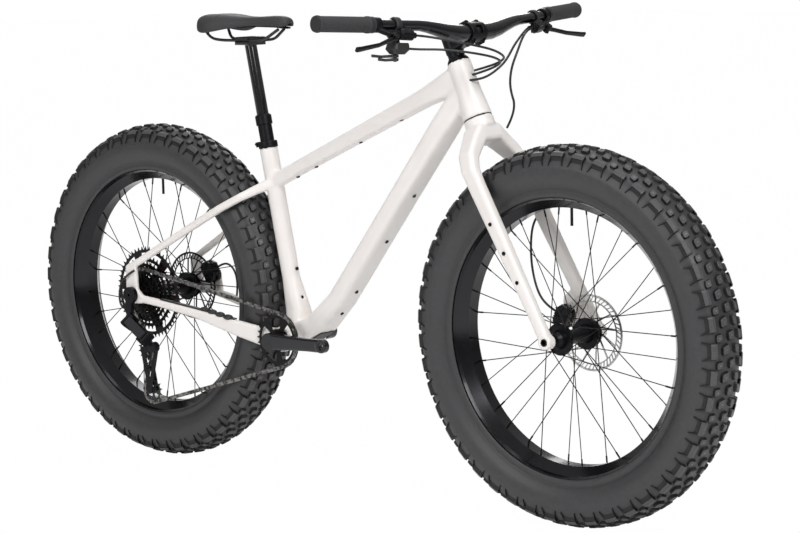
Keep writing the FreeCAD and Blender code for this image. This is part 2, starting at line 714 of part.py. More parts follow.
def make_headset():
    bearing = [
        ring("lower_bearing", "steerer_taper_radius + run_gap", "lower_bearing_radius - run_gap", "0.5",
             "0.5 + bearing_height",
             turn_to(steer_up, crown)),
        ring("upper_bearing", "steerer_radius + run_gap", "upper_bearing_radius - run_gap",
             "-0.5 - bearing_height", "-0.5",
             turn_to(steer_up, head_top)),
    ]
    group("headset_bearings", bearing)
    bore = "steerer_radius + run_gap"
    clamp_high = "stem_stack + stem_height"
    top = turn_to(steer_up, head_top)
    group("headset_spacers", [
        ring("crown_seal", "steerer_taper_radius + run_gap", "head_radius_bottom - 0.6", "-1.1", "-0.4",
             turn_to(steer_up, crown)),
        turned("bearing_cover", [(bore, "seat_gap"), ("head_radius_top - 0.5", "seat_gap"),
                                 ("head_radius_top - 2", "4"), ("steerer_radius + 4", "10"),
                                 (bore, "10")], top),
        ring("stem_spacer", bore, "steerer_radius + 3.5", "10.1", "stem_stack", top),
        turned("top_cap", [("0", clamp_high + " + 0.1"), ("steerer_radius + 3.5", clamp_high + " + 0.1"),
                           ("steerer_radius + 3.5", clamp_high + " + 3"),
                           ("steerer_radius", clamp_high + " + 6"),
                           ("0", clamp_high + " + 6")], top),
    ])


def fork_leg():
    # The right leg below the shoulder, down to the dropout.
    width, depth = value("leg_width"), value("leg_depth")
    foot = -value("fork_length")
    rake = value("fork_offset")
    inner = value("front_spacing") / 2
    y_top = -value("tyre_width") / 2 - 2 * value("tyre_clearance") - width / 2 + 4
    y_foot = -inner - value("fork_dropout_thickness") / 2
    slope = V(steer_up * (foot + 140) + steer_ahead * (rake - 4))
    stations = [
        (on_steerer(-138, 4, y_top), slope, width, depth),
        (on_steerer(-300, 24, y_top - 1), slope, width, depth * 0.84),
        (on_steerer(foot + 60, rake - 7, y_foot + 1), slope, width * 0.9, depth * 0.72),
        (on_steerer(foot + 4, rake - 0.5, y_foot), slope, value("fork_dropout_thickness"), depth * 0.72),
    ]
    return loft(stations, left, 8)


def fork_arch():
    # Both shoulders and the crown between them, as one arch over the tyre.
    width, depth = value("leg_width"), value("leg_depth")
    y_top = value("tyre_width") / 2 + 2 * value("tyre_clearance") + width / 2 - 4
    shoulder = [
        (-150, 5.5, y_top, V(0, 0.02, -1), width, depth),
        (-112, 1, y_top - 1, V(0, 0.1, -1), width * 1.08, depth * 1.06),
        (-82, 0, y_top - 11, V(0, 0.62, -0.8), width * 1.2, depth * 1.14),
        (-56, 0, y_top - 36, V(0, 0.92, -0.5), width * 1.35, depth * 1.25),
        (-38, 0, y_top * 0.34, V(0, 1, -0.15), width * 1.55, depth * 1.45),
    ]
    stations = []
    for up, ahead, y, way, wide, deep in shoulder:
        along = V(0, way.y, 0) + steer_up * way.z
        stations.append((on_steerer(up, ahead, y), along, deep, wide))
    for up, ahead, y, way, wide, deep in reversed(shoulder):
        along = V(0, way.y, 0) - steer_up * way.z
        stations.append((on_steerer(up, ahead, -y), along, deep, wide))
    first_half = [(c, along * -1, w, d) for c, along, w, d in stations[:5]]
    second_half = [(c, along * -1, w, d) for c, along, w, d in stations[5:]]
    return loft(first_half + second_half, steer_ahead, 9)


def make_fork():
    inner = value("front_spacing") / 2
    outer = inner + value("fork_dropout_thickness")
    boss = Part.makeCylinder(15, outer - inner, front_axle - left * outer, left)
    steerer = turned("steerer_skin", [
        ("0", "-40"), ("head_radius_bottom", "-24"), ("head_radius_bottom", "-1.4"),
        ("steerer_taper_radius", "-1.4"), ("steerer_taper_radius", "bearing_height + 12"),
        ("steerer_radius", "60"), ("steerer_radius", "head_tube_length + stem_stack + stem_height - 2"),
        ("0", "head_tube_length + stem_stack + stem_height - 2")], turn_to(steer_up, crown)).Shape
    doc.removeObject("steerer_skin")
    solid = steerer
    for part in (fork_arch(), fork_leg(), mirror(fork_leg()), boss, mirror(boss), front_brake_tab()):
        solid = solid.fuse(part)
    cuts = [rod(front_axle - left * 120, front_axle + left * 120, value("front_axle_radius + run_gap"))]
    for place, out in fork_boss_places():
        cuts.append(rod(place - out * 12, place, 2.6))
        cuts.append(rod(place - out * 0.6, place + out * 12, 4.6))
    cuts.append(line_port(front_hose_path()[::-1]))
    cuts.append(line_port(leg_hose_path()))
    for cut in cuts:
        solid = solid.cut(cut)
    return feature("fork", solid.removeSplitter())


def front_brake_tab():
    # The lug behind the left leg that carries the front caliper.
    x, z = front_axle.x, front_axle.z
    y = value("front_rotor_y") + 16 + gap
    tab = Part.Face(Part.makePolygon([
        V(x - 20, y, z + 16), V(x - 62, y, z + 84), V(x - 84, y, z + 66), V(x - 88, y, z + 14),
        V(x - 58, y, z + 4), V(x - 20, y, z + 16)]))
    return tab.extrude(V(0, 9, 0))


def fork_boss_places():
    places = []
    y = value("tyre_width") / 2 + 2 * value("tyre_clearance") + value("leg_width") - 4
    for up, ahead in ((-232, 15), (-298, 24), (-364, 32)):
        for sign in (-1, 1):
            places.append((on_steerer(up, ahead, sign * y), V(0, sign, 0)))
    return places


bar_centre = head_top + steer_up * value("stem_stack + stem_height / 2") + steer_ahead * value("stem_length")
bar_end = bar_centre + V(-value("bar_backsweep"), -value("bar_width") / 2, value("bar_rise"))
bar_knee = bar_centre + V(-value("bar_backsweep") * 0.16, -158, value("bar_rise") * 0.62)
bar_in = unit(bar_knee - bar_end)
bar_ahead = unit(V(1, 0, 0) - bar_in * bar_in.x)
bar_down = bar_in.cross(bar_ahead)
lever_turn = FreeCAD.Rotation(bar_in, value("lever_droop"))
lever_ahead = lever_turn.multVec(bar_ahead)
lever_down = lever_turn.multVec(bar_down)


def on_bar(along, ahead=0, down=0):
    # A place by the right grip: along from the bar's end, ahead of it and below it.
    return bar_end + bar_in * along + bar_ahead * ahead + bar_down * down


def by_lever(along, ahead=0, down=0):
    # A place by the right brake lever, which hangs below the level of the bar.
    return on_bar(along) + lever_ahead * ahead + lever_down * down


def make_bar():
    thin, thick = value("bar_radius"), value("bar_clamp_radius")
    run = (bar_knee - bar_end).Length
    half = value("stem_width") / 2 + 8

    def circle(centre, along, radius):
        return Part.Wire(Part.Circle(centre, along, radius).toShape())

    middle = bar_centre - V(0, half, 0)
    wires = [circle(middle, V(0, -1, 0), thick)]
    turn = [(0.2, 0.06, 1), (0.42, 0.28, 0.92), (0.64, 0.6, 0.8), (0.84, 0.86, 0.7)]
    flat = bar_knee - middle
    for share, lift, size in turn:
        centre = middle + V(flat.x * lift, flat.y * share, flat.z * lift)
        lean = V(flat.x * 0.6, flat.y, flat.z * 0.6)
        if 0.3 < share < 0.8:
            lean = V(flat.x * 1.1, flat.y, flat.z * 1.5)
        wires.append(circle(centre, lean, thin + (thick - thin) * (size - 0.63) / 0.37))
    wires.append(circle(bar_knee, bar_in * -1, thin))
    bend = Part.makeLoft(wires, True, True)
    straight = rod(bar_end, bar_end + bar_in * run, thin)
    side = bend.fuse(straight)
    solid = rod(middle, bar_centre + V(0, half, 0), thick).fuse(side).fuse(mirror(side))
    return feature("handlebar", solid.removeSplitter())


def bar_ring(low, high, outer, inner=None):
    inner = value("bar_radius + run_gap") if inner is None else inner
    shell = rod(on_bar(low), on_bar(high), outer)
    return shell.cut(rod(on_bar(low - 1), on_bar(high + 1), inner))


def make_grips():
    length, radius = value("grip_length"), value("grip_radius")
    grip = bar_ring(0, length, radius, value("bar_radius + seat_gap"))
    lips = [bar_ring(0, 6, radius + 1.5, radius - 2), bar_ring(length - 8, length, radius + 1.2, radius - 2)]
    grip = join([grip] + lips)
    solids("grips", [grip, mirror(grip)])
    plug = rod(on_bar(-3), on_bar(-gap), radius)
    collar = bar_ring(length + gap, length + 9, radius + 0.8)
    solids("bar_end_plugs", [plug, mirror(plug), collar, mirror(collar)])


def make_stem():
    wall = value("stem_wall")
    width = value("stem_width")
    bore = value("steerer_radius + run_gap")
    low = head_top + steer_up * value("stem_stack + seat_gap")
    high = head_top + steer_up * value("stem_stack + stem_height")
    outer = value("bar_clamp_radius") + wall
    middle = bar_centre - V(0, width / 2, 0)
    clamp = rod(low, high, bore + wall)
    barrel = Part.makeCylinder(outer, width, middle, left)
    stalk = loft([
        (on_steerer(value("head_tube_length + stem_stack + stem_height / 2"), 2), steer_ahead, 34, 36),
        (bar_centre - steer_ahead * 14, steer_ahead, 40, 34),
    ], left, 8)
    ears = [rod(place - out * 19, place, 5.4) for place, out in stem_bolt_places()]
    body = join([clamp, barrel, stalk] + ears)
    body = body.cut(rod(low - steer_up * 5, high + steer_up * 5, bore))
    bar_hole = value("bar_clamp_radius + run_gap")
    hole = Part.makeCylinder(bar_hole, 2 * width, bar_centre - V(0, width, 0), left)
    body = body.cut(hole)
    face = join([Part.makeCylinder(outer, width, middle, left)] + ears).cut(hole)
    half_space = Part.makeBox(200, 200, 200, V(-200, -100, -100))
    ahead_turn = FreeCAD.Rotation(V(1, 0, 0), steer_ahead)
    half_space.Placement = FreeCAD.Placement(bar_centre - steer_ahead, ahead_turn)
    front_space = Part.makeBox(200, 200, 200, V(0, -100, -100))
    front_space.Placement = FreeCAD.Placement(bar_centre + steer_ahead, ahead_turn)
    body = body.common(half_space)
    high_window = value("bar_clamp_radius")
    window = Part.makeBox(200, width * 0.42, high_window, V(0, -width * 0.21, -high_window / 2))
    window.Placement = front_space.Placement
    face = face.common(front_space).cut(window)
    for place, out in stem_bolt_places():
        shank = rod(place - out * 12, place + out * 12, 2.6)
        seat = rod(place - out * 0.6, place + out * 12, 4.6)
        body = body.cut(shank)
        face = face.cut(shank).cut(seat)
    feature("stem", body)
    feature("stem_faceplate", face)


def stem_bolt_places():
    places = []
    reach = value("bar_clamp_radius") + 3.4
    for up in (-1, 1):
        for y in (-1, 1):
            place = bar_centre + steer_up * (up * reach) + V(0, y * (value("stem_width") / 2 - 7), 0)
            places.append((place + steer_ahead * 6.5, steer_ahead))
    return places


def make_controls():
    # Hydraulic brake levers on both sides, a shifter on the right and a seatpost remote on the left.
    start = value("grip_length") + 12
    clamp = bar_ring(start, start + 13, value("clamp_radius"))
    pivot = by_lever(start + 34, 36, 4)
    neck = rod(by_lever(start + 6.5, 12.5, 2), by_lever(start + 28, 25, 3), 6)
    tank = rod(by_lever(start + 25, 25, 3), by_lever(start + 84, 28, 3), 8.5)
    knuckle = rod(pivot - lever_down * 9.5, pivot - lever_down * 5.2, 7)
    knuckle_low = rod(pivot + lever_down * 5.2, pivot + lever_down * 9.5, 7)
    bridge = rod(pivot - lever_down * 7.5, by_lever(start + 38, 25, 0), 4)
    bridge_low = rod(pivot + lever_down * 7.5, by_lever(start + 38, 25, 6), 4)
    pin = rod(pivot - lever_down * 9, pivot + lever_down * 9, 2.5)
    body = join([clamp, neck, tank, knuckle, knuckle_low, bridge, bridge_low])
    body = body.cut(rod(pivot - lever_down * 4.9, pivot + lever_down * 4.9, 10)).fuse(pin)
    body = body.cut(rod(on_bar(start - 10), on_bar(start + 60), value("bar_radius + run_gap")))
    solids("brake_lever_bodies", [body, mirror(body)])
    blade = brake_blade(pivot, start)
    feature("right_brake_lever", blade)
    feature("left_brake_lever", mirror(blade))
    make_shifter(start)
    make_remote(start)


def brake_blade(pivot, start):
    reach = value("lever_length")
    tip = by_lever(start + 34 - reach, 72, 6)
    bow = by_lever(start + 34 - reach * 0.45, 58, 5)
    blade = loft([
        (pivot + lever_ahead * 1, bow - pivot, 8, 10),
        (pivot + (bow - pivot) * 0.4, bow - pivot, 8, 8),
        (bow, tip - pivot, 9, 6),
        (tip + bar_in * 12 - lever_ahead * 2, tip - bow, 11, 6),
        (tip, tip - bow + lever_ahead * 10, 11, 7),
    ], lever_down, 2.6)
    eye = rod(pivot - lever_down * 4.5, pivot + lever_down * 4.5, 6.5)
    hole = rod(pivot - lever_down * 8, pivot + lever_down * 8, value("run_gap") + 2.5)
    return blade.fuse(eye).cut(hole).removeSplitter()


def make_shifter(start):
    # The body hangs on its own clamp, below the brake lever's; two paddles turn on one post.
    low = start + 50
    depth = value("shifter_depth")
    clamp = bar_ring(low, low + 11, value("clamp_radius"))
    hang = loft([
        (on_bar(low + 5.5, -2, 12.5), bar_down, 11, 12),
        (on_bar(low + 7, -3, depth - 17), bar_down, 18, 13),
    ], bar_in, 3)
    case = loft([
        (on_bar(low + 10, 4, depth - 20), bar_down, 36, 30),
        (on_bar(low + 8, 5, depth - 8), bar_down, 40, 34),
        (on_bar(low + 8, 4, depth + 1), bar_down, 26, 24),
    ], bar_in, 7)
    post_top = on_bar(low + 4, 2, depth)
    post = rod(post_top, post_top + bar_down * 16, 3)
    bar_hole = rod(on_bar(low - 1), on_bar(low + 12), value("bar_radius + run_gap"))
    body = join([clamp, hang, case, post]).cut(bar_hole)
    feature("shifter_body", body)
    levers = (("shift_thumb_lever", 3, 40, -22), ("shift_release_lever", 10, 30, -12))
    for name, below, reach, ahead in levers:
        eye_low = post_top + bar_down * below
        eye = rod(eye_low, eye_low + bar_down * 5, 7)
        tip = on_bar(low + 4 - reach, ahead, depth + below + 2.5)
        arm = loft([
            (eye_low + bar_down * 2.5, tip - eye_low, 5, 9),
            (eye_low + bar_down * 2.5 + (tip - eye_low) * 0.6, tip - eye_low, 4.4, 8),
            (tip, tip - eye_low, 5, 15),
        ], bar_down, 2)
        hole = rod(post_top - bar_down, post_top + bar_down * 20, 3 + value("run_gap"))
        feature(name, eye.fuse(arm).cut(hole).removeSplitter())


def make_remote(start):
    low = start + 44
    clamp = bar_ring(low, low + 10, value("clamp_radius"))
    arm = loft([
        (on_bar(low + 5, 3, 12.5), bar_down, 10, 12),
        (on_bar(low + 6, 2, 25), bar_down, 16, 14),
    ], bar_in, 3)
    pivot = on_bar(low + 6, 2, 25)
    post = rod(pivot, pivot + bar_down * 9.5, 3)
    barrel = rod(on_bar(low + 12, 2, 20), on_bar(low + 34, 4, 20), 3.6)
    body = join([clamp, arm, post, barrel])
    body = body.cut(rod(on_bar(low - 1), on_bar(low + 11), value("bar_radius + run_gap")))
    feature("dropper_remote_body", mirror(body))
    eye = rod(pivot + bar_down * 1, pivot + bar_down * 8, 7)
    tip = on_bar(low - 34, -10, 31)
    paddle = loft([
        (pivot + bar_down * 4.5, tip - pivot, 6, 9),
        (pivot + bar_down * 4.5 + (tip - pivot) * 0.6, tip - pivot, 5, 9),
        (tip, tip - pivot, 7, 18),
    ], bar_down, 2.2)
    hole = rod(pivot - bar_down, pivot + bar_down * 12, 3 + value("run_gap"))
    feature("dropper_lever", mirror(eye.fuse(paddle).cut(hole).removeSplitter()))


def make_seat():
    top = turn_to(seat_up, seat_top)
    post = "post_radius"
    bore = "stanchion_radius + run_gap"
    keep("dropper_outer_tube", turned("dropper_outer_tube", [
        (bore, "-post_insertion"), (post, "-post_insertion"), (post, "dropper_exposed - collar_height"),
        ("collar_radius", "dropper_exposed - collar_height + 1"), ("collar_radius", "dropper_exposed - 3"),
        ("collar_radius - 2.5", "dropper_exposed"), (bore, "dropper_exposed")], top))
    clamp = turned("seat_collar", [
        (post + " + 0.2", "seat_gap"), ("seat_tube_radius + 2", "seat_gap"), ("seat_tube_radius + 2", "13"),
        ("seat_tube_radius", "15"), (post + " + 0.2", "15")], top)
    place = seat_top - V(value("seat_tube_radius"), 0, 0) + seat_up * 7.5
    ear = Part.makeBox(11, 22, 11, V(-9, -11, -5.5))
    ear.Placement = turn_to(seat_up, place)
    bolt = rod(place + V(-5, -15, 0), place + V(-5, 14, 0), 3)
    post_hole = rod(seat_top - seat_up, seat_top + seat_up * 20, value("post_radius + 0.2"))
    collar = join([clamp.Shape, ear]).cut(post_hole)
    slit = Part.makeBox(16, 1.6, 40, V(-14, -0.8, -20))
    slit.Placement = turn_to(seat_up, place)
    collar = collar.cut(slit).cut(rod(place + V(-5, -30, 0), place + V(-5, 30, 0), 3.1))
    doc.removeObject("seat_collar")
    solids("seat_clamp", [collar, bolt])
    make_saddle()


def make_saddle():
    # The stanchion with its head, the rails in their clamp, the shell and the padded cover.
    neck = head_of_post()
    low = seat_top + seat_up * (value("dropper_travel - post_insertion") + 10)
    stanchion = rod(low, neck - seat_up * 4, value("stanchion_radius"))
    rail_z = neck.z + 6
    cradle = Part.makeBox(44, 58, 9, V(neck.x - 22, -29, neck.z - 4.5))
    cradle = cradle.makeFillet(3.5, [e for e in cradle.Edges if abs(e.CenterOfMass.y) > 28])
    spread_y = value("rail_spread")
    rail = value("rail_radius")
    grooves = []
    for y in (-spread_y, spread_y):
        grooves.append(Part.makeCylinder(rail + 0.1, 60, V(neck.x - 30, y, rail_z), V(1, 0, 0)))
    base = join([stanchion, cradle])
    for groove in grooves:
        base = base.cut(groove)
    feature("dropper_stanchion", base)
    lid = Part.makeBox(38, 58, 7, V(neck.x - 19, -29, rail_z + 1))
    lid = lid.makeFillet(3, [e for e in lid.Edges if abs(e.CenterOfMass.z - rail_z - 8) < 0.1])
    for groove in grooves:
        lid = lid.cut(groove)
    bolts = []
    for x in (-27, 27):
        bolts.append(rod(V(neck.x + x * 0.55, 0, neck.z - 12), V(neck.x + x * 0.55, 0, rail_z + 9.5), 2.5))
    shapes = [lid.cut(bolts[0]).cut(bolts[1])]
    for y in (-spread_y, spread_y):
        shapes.append(saddle_rail(y, rail_z))
    shapes.append(saddle_body(0, value("saddle_thickness") * 0.3, 0.9))
    solids("saddle_base", shapes)
    feature("saddle_cover", saddle_body(value("saddle_thickness") * 0.3 + gap, value("saddle_thickness"), 1))


def head_of_post():
    up = value("dropper_exposed") + value("dropper_travel") + 14
    return seat_top + seat_up * up


def saddle_rail(y, rail_z):
    nose, length = value("saddle_nose_x"), value("saddle_length")
    sign = 1 if y > 0 else -1
    under = value("saddle_height") - value("saddle_thickness") - 1
    points = [
        V(nose - 24, sign * 9, under - 8), V(nose - 60, sign * 16, rail_z + 3), V(nose - 88, y, rail_z),
        V(nose - 190, y, rail_z), V(nose - 216, y * 1.4, rail_z + 4),
        V(nose - length + 34, y * 1.8, under - 2)]
    return hose(points, value("rail_radius"))


def saddle_body(low, high, share):
    # A wave shaped pad from the raised rear edge to the dropped nose.
    nose, length = value("saddle_nose_x"), value("saddle_length")
    half = value("saddle_width") / 2 * share
    foot = value("saddle_height") - value("saddle_thickness")
    outline = [(0, 0.42, 5), (0.06, 0.82, 3), (0.2, 1, 0), (0.36, 0.84, -3), (0.52, 0.46, -5),
               (0.72, 0.31, -4), (0.9, 0.26, -5), (0.98, 0.17, -8)]
    wires = []
    for place, wide, lift in outline:
        x = nose - length + length * place
        w = half * wide
        z_low, z_high = foot + low + lift, foot + high + lift
        mid = (z_high - z_low) * 0.62
        a, b = V(x, -w * 0.94, z_low), V(x, w * 0.94, z_low)
        c, d = V(x, w, z_low + mid * 0.6), V(x, -w, z_low + mid * 0.6)
        crown_arc = Part.Arc(c, V(x, 0, z_high), d).toShape()
        wires.append(Part.Wire([Part.LineSegment(a, b).toShape(), Part.LineSegment(b, c).toShape(), crown_arc,
                                Part.LineSegment(d, a).toShape()]))
    return Part.makeLoft(wires, True, True)


def make_axles():
    wall = "axle_wall"
    inner = value("front_spacing") / 2 + value("fork_dropout_thickness")
    keep("front_axle", turned("front_axle", [
        ("front_axle_radius - " + wall, "0"), ("front_axle_radius", "0"),
        ("front_axle_radius", "front_spacing + 2 * fork_dropout_thickness + 0.2"),
        ("front_axle_radius + 3", "front_spacing + 2 * fork_dropout_thickness + 0.2"),
        ("front_axle_radius + 2", "front_spacing + 2 * fork_dropout_thickness + 4"),
        ("front_axle_radius - " + wall, "front_spacing + 2 * fork_dropout_thickness + 4")],
        turn_to(left, front_axle - left * inner)))
    start = value("rear_spacing") / 2 + value("dropout_thickness") + value("mount_thickness")
    across = "rear_spacing + 2 * dropout_thickness + mount_thickness"
    keep("rear_axle", turned("rear_axle", [
        ("rear_axle_radius - " + wall, "0"), ("rear_axle_radius", "0"),
        ("rear_axle_radius", across + " + 0.2"),
        ("rear_axle_radius + 4", across + " + 0.2"), ("rear_axle_radius + 3", across + " + 5"),
        ("rear_axle_radius - " + wall, across + " + 5")], turn_to(left, rear_axle - left * start)))


def pitch_radius(teeth):
    return value("chain_pitch") / (2 * math.sin(math.pi / teeth))


def sprocket(teeth, thickness, bore, phase):
    # A toothed disc round the local Z axis; the phase turns a gap between teeth to the chain's roller.
    radius = pitch_radius(teeth)
    root = radius - value("roller_radius") - gap - 0.25
    tip = radius + value("tooth_height")
    step = 2 * math.pi / teeth
    corners = []
    for i in range(teeth):
        for share, reach in ((-0.26, root), (0.26, root), (0.5, tip)):
            angle = phase + (i + share) * step
            corners.append(V(reach * math.cos(angle), reach * math.sin(angle), -thickness / 2))
    corners.append(corners[0])
    disc = Part.Face(Part.makePolygon(corners)).extrude(V(0, 0, thickness))
    return disc.cut(Part.makeCylinder(bore, 2 * thickness, V(0, 0, -thickness)))


def lightened(disc, inner, outer, count, share):
    # Windows between arms, cut through a toothed disc.
    for i in range(count):
        window = Part.makeCylinder(outer, 4, V(0, 0, -2), V(0, 0, 1), 360 / count * share)
        window = window.cut(Part.makeCylinder(inner, 6, V(0, 0, -3)))
        window.rotate(V(0, 0, 0), V(0, 0, 1), 360 / count * i)
        disc = disc.cut(window)
    return disc


# The chain's route in its plane: the chainring, a cog, the guide pulley and the tension pulley.
chain_y = -value("chain_line")
guide_place = rear_axle - V(0, 0, value("guide_drop"))
cage_drop = math.sqrt(value("cage_span") ** 2 - value("cage_forward") ** 2)
tension_place = guide_place + V(value("cage_forward"), 0, -cage_drop)
cage_pivot = guide_place + V(value("cage_pivot_ahead"), 0, value("cage_pivot_rise"))
WRAPS = [
    (bracket, pitch_radius(int(value("ring_teeth"))), 1),
    (rear_axle, pitch_radius(CHAIN_COG), 1),
    (guide_place, pitch_radius(int(value("guide_teeth"))), -1),
    (tension_place, pitch_radius(int(value("tension_teeth"))), 1),
]


def tangent_turn(first, second):
    # The angle, in the chain's plane, of the two touching points of a run between two wheels.
    (a, ra, sa), (b, rb, sb) = first, second
    dx, dz = b.x - a.x, b.z - a.z
    distance = math.hypot(dx, dz)
    heading = math.atan2(dz, dx)
    lean = math.acos((ra * sa - rb * sb) / distance)
    leave = heading - lean
    return leave if sa > 0 else leave + math.pi, leave if sb > 0 else leave + math.pi


def chain_route():
    # Stretches of the chain in running order: an arc on each wheel, then the straight run to the next.
    stretches = []
    count = len(WRAPS)
    for i, (centre, radius, sense) in enumerate(WRAPS):
        arrive = tangent_turn(WRAPS[i - 1], WRAPS[i])[1]
        leave, land = tangent_turn(WRAPS[i], WRAPS[(i + 1) % count])
        sweep = (leave - arrive) % (2 * math.pi)
        if sense < 0:
            sweep -= 2 * math.pi
        stretches.append(("arc", centre, radius, arrive, sweep))
        nxt, next_radius, _ = WRAPS[(i + 1) % count]
        start = V(centre.x + radius * math.cos(leave), 0, centre.z + radius * math.sin(leave))
        end = V(nxt.x + next_radius * math.cos(land), 0, nxt.z + next_radius * math.sin(land))
        stretches.append(("run", start, end))
    return stretches


def stretch_length(stretch):
    if stretch[0] == "arc":
        return abs(stretch[4]) * stretch[2]
    return (stretch[2] - stretch[1]).Length


def on_route(stretches, distance):
    for stretch in stretches:
        length = stretch_length(stretch)
        if distance <= length:
            break
        distance -= length
    if stretch[0] == "run":
        return stretch[1] + unit(stretch[2] - stretch[1]) * distance
    _, centre, radius, arrive, sweep = stretch
    turn = arrive + math.copysign(distance / radius, sweep)
    return V(centre.x + radius * math.cos(turn), 0, centre.z + radius * math.sin(turn))


route = chain_route()
route_length = sum(stretch_length(stretch) for stretch in route)
link_count = 2 * round(route_length / value("chain_pitch") / 2)
joints = [on_route(route, route_length * (i + 0.5) / link_count) for i in range(link_count)]


def roller_phase(wheel):
    # The direction from a wheel's centre to the roller nearest to the middle of its wrap.
    centre, radius, _ = WRAPS[wheel]
    _, _, _, arrive, sweep = route[2 * wheel]
    half_way = arrive + sweep / 2
    middle = V(math.cos(half_way), 0, math.sin(half_way)) * radius + V(centre.x, 0, centre.z)
    nearest = min(joints, key=lambda joint: (joint - middle).Length)
    return math.atan2(nearest.z - centre.z, nearest.x - centre.x)


def make_chain():
    # Inner links carry the rollers between their plates; outer links lie outside them.
    height = value("plate_height") / 2
    thick = value("plate_thickness")
    inner = value("inner_plate_gap")
    outer = inner + thick + value("run_gap")
    across = V(0, 1, 0)
    shapes = []
    for i, start in enumerate(joints):
        end = joints[(i + 1) % link_count]
        along = unit(end - start)
        up = along.cross(across)
        lean = along * (height * 0.3)
        corners = [start - along * height, start + up * height - lean, end + up * height + lean,
                   end + along * height, end - up * height + lean, start - up * height - lean]
        for sign in (-1, 1):
            y = chain_y + sign * (outer if i % 2 else inner)
            ring_points = [corner + V(0, y, 0) for corner in corners]
            face = Part.Face(Part.makePolygon(ring_points + ring_points[:1]))
            shapes.append(face.extrude(V(0, sign * thick, 0)))
        low = start + V(0, chain_y - inner + value("run_gap"), 0)
        shapes.append(prism(low, low + V(0, 2 * inner - 2 * value("run_gap"), 0), value("roller_radius"), 6))
    solids("chain", shapes)


def toothed(teeth, thickness, bore, wheel_phase, place):
    disc = sprocket(teeth, thickness, bore, wheel_phase)
    disc.Placement = turn_to(V(0, -1, 0), place)
    return disc


def make_cassette():
    # Twelve cogs on the freehub body; the larger cogs are open between arms.
    thickness = value("cog_thickness")
    bore = value("freehub_radius") + 0.2
    rest = COGS.index(CHAIN_COG)
    shapes = []
    for index, teeth in enumerate(COGS):
        phase = roller_phase(1) if teeth == CHAIN_COG else 0
        disc = sprocket(teeth, thickness, bore, phase)
        if teeth >= CHAIN_COG:
            disc = lightened(disc, value("freehub_radius") + 8, pitch_radius(teeth) - 12, 6, 0.72)
        y = chain_y + (index - rest) * value("cog_pitch")
        disc.Placement = turn_to(V(0, -1, 0), rear_axle + V(0, y, 0))
        shapes.append(disc)
    outer = -value("rear_spacing") / 2 + gap
    inner = -value("rear_flange_right") - 5 - gap
    radius = value("freehub_radius")
    small = pitch_radius(COGS[0]) - value("roller_radius") - 3
    first = chain_y - rest * value("cog_pitch")
    core = rod(rear_axle + V(0, inner, 0), rear_axle + V(0, first + 4.2, 0), radius)
    nose = rod(rear_axle + V(0, inner, 0), rear_axle + V(0, outer, 0), small)
    bore_cut = rod(rear_axle - left * 150, rear_axle + left * 150, value("rear_axle_radius + run_gap"))
    shapes[0] = toothed(COGS[0], thickness, small + 0.2, 0, rear_axle + V(0, first, 0))
    shapes.append(core.fuse(nose).cut(bore_cut).removeSplitter())
    solids("cassette", shapes)


def make_cranks():
    rise = math.radians(value("crank_rise"))
    way = V(math.cos(rise), 0, math.sin(rise))
    length = value("crank_length")
    face, far = value("crank_face"), value("pedal_face")
    boss = value("pedal_boss")

    def arm(sign):
        # sign is -1 on the right side; the left arm points the other way.
        out = V(0, sign, 0)
        along = way * -sign
        hub = rod(bracket + out * 76, bracket + out * face, 19)
        end = rod(bracket + along * length + out * (far - boss), bracket + along * length + out * far, 15)
        side = V(0, 0, 1)
        beam = loft([
            (bracket + along * 2 + out * (face - 12.5), along, 36, 24),
            (bracket + along * length * 0.3 + out * (face - 8), along, 32, 19),
            (bracket + along * length * 0.7 + out * (far - boss / 2 - 3), along, 28, boss),
            (bracket + along * length + out * (far - boss / 2), along, 29, boss),
        ], side, 4.5)
        solid = join([hub, beam, end])
        place = bracket + along * length
        return solid.cut(rod(place + out * (far - boss - 2), place + out * (far + 2), value("pedal_bore")))

    spindle_end = left * value("spindle_half")
    bore = value("spindle_radius") - value("spindle_wall")
    spindle = rod(bracket - spindle_end, bracket + spindle_end, value("spindle_radius"))
    feature("crank_spindle", spindle.cut(rod(bracket - spindle_end * 2, bracket + spindle_end * 2, bore)))
    fit = value("spindle_radius + run_gap")
    for name, sign in (("right_crank_arm", -1), ("left_crank_arm", 1)):
        seat = rod(bracket, bracket + spindle_end * sign + left * (sign * gap), fit)
        bolt_well = rod(bracket, bracket + left * (sign * (face - 4)), bore)
        feature(name, arm(sign).cut(seat).cut(bolt_well))
    ring_body = sprocket(int(value("ring_teeth")), value("ring_thickness"), 1, roller_phase(0))
    ring_body = lightened(ring_body, 25, pitch_radius(int(value("ring_teeth"))) - 11, 5, 0.68)
    spider = Part.makeCylinder(22, 75.7 - value("chain_line"), V(0, 0, 0))
    ring_body = ring_body.fuse(spider).cut(Part.makeCylinder(value("spindle_radius") + 0.1, 40, V(0, 0, -20)))
    ring_body.Placement = turn_to(V(0, -1, 0), bracket + V(0, chain_y, 0))
    feature("chainring", ring_body.removeSplitter())
    half = value("bb_width") / 2
    bore_text = "spindle_radius + run_gap"
    cups = []
    for name, sign in (("right_cup", -1), ("left_cup", 1)):
        cups.append(turned(name, [
            (bore_text, "-16"), ("bb_bore_radius - run_gap", "-16"), ("bb_bore_radius - run_gap", "0.1"),
            ("bb_bore_radius + 3.5", "0.1"), ("bb_bore_radius + 3", "3.5"), (bore_text, "3.5")],
            turn_to(left * sign, bracket + left * (sign * half))))
    group("bottom_bracket_cups", cups)


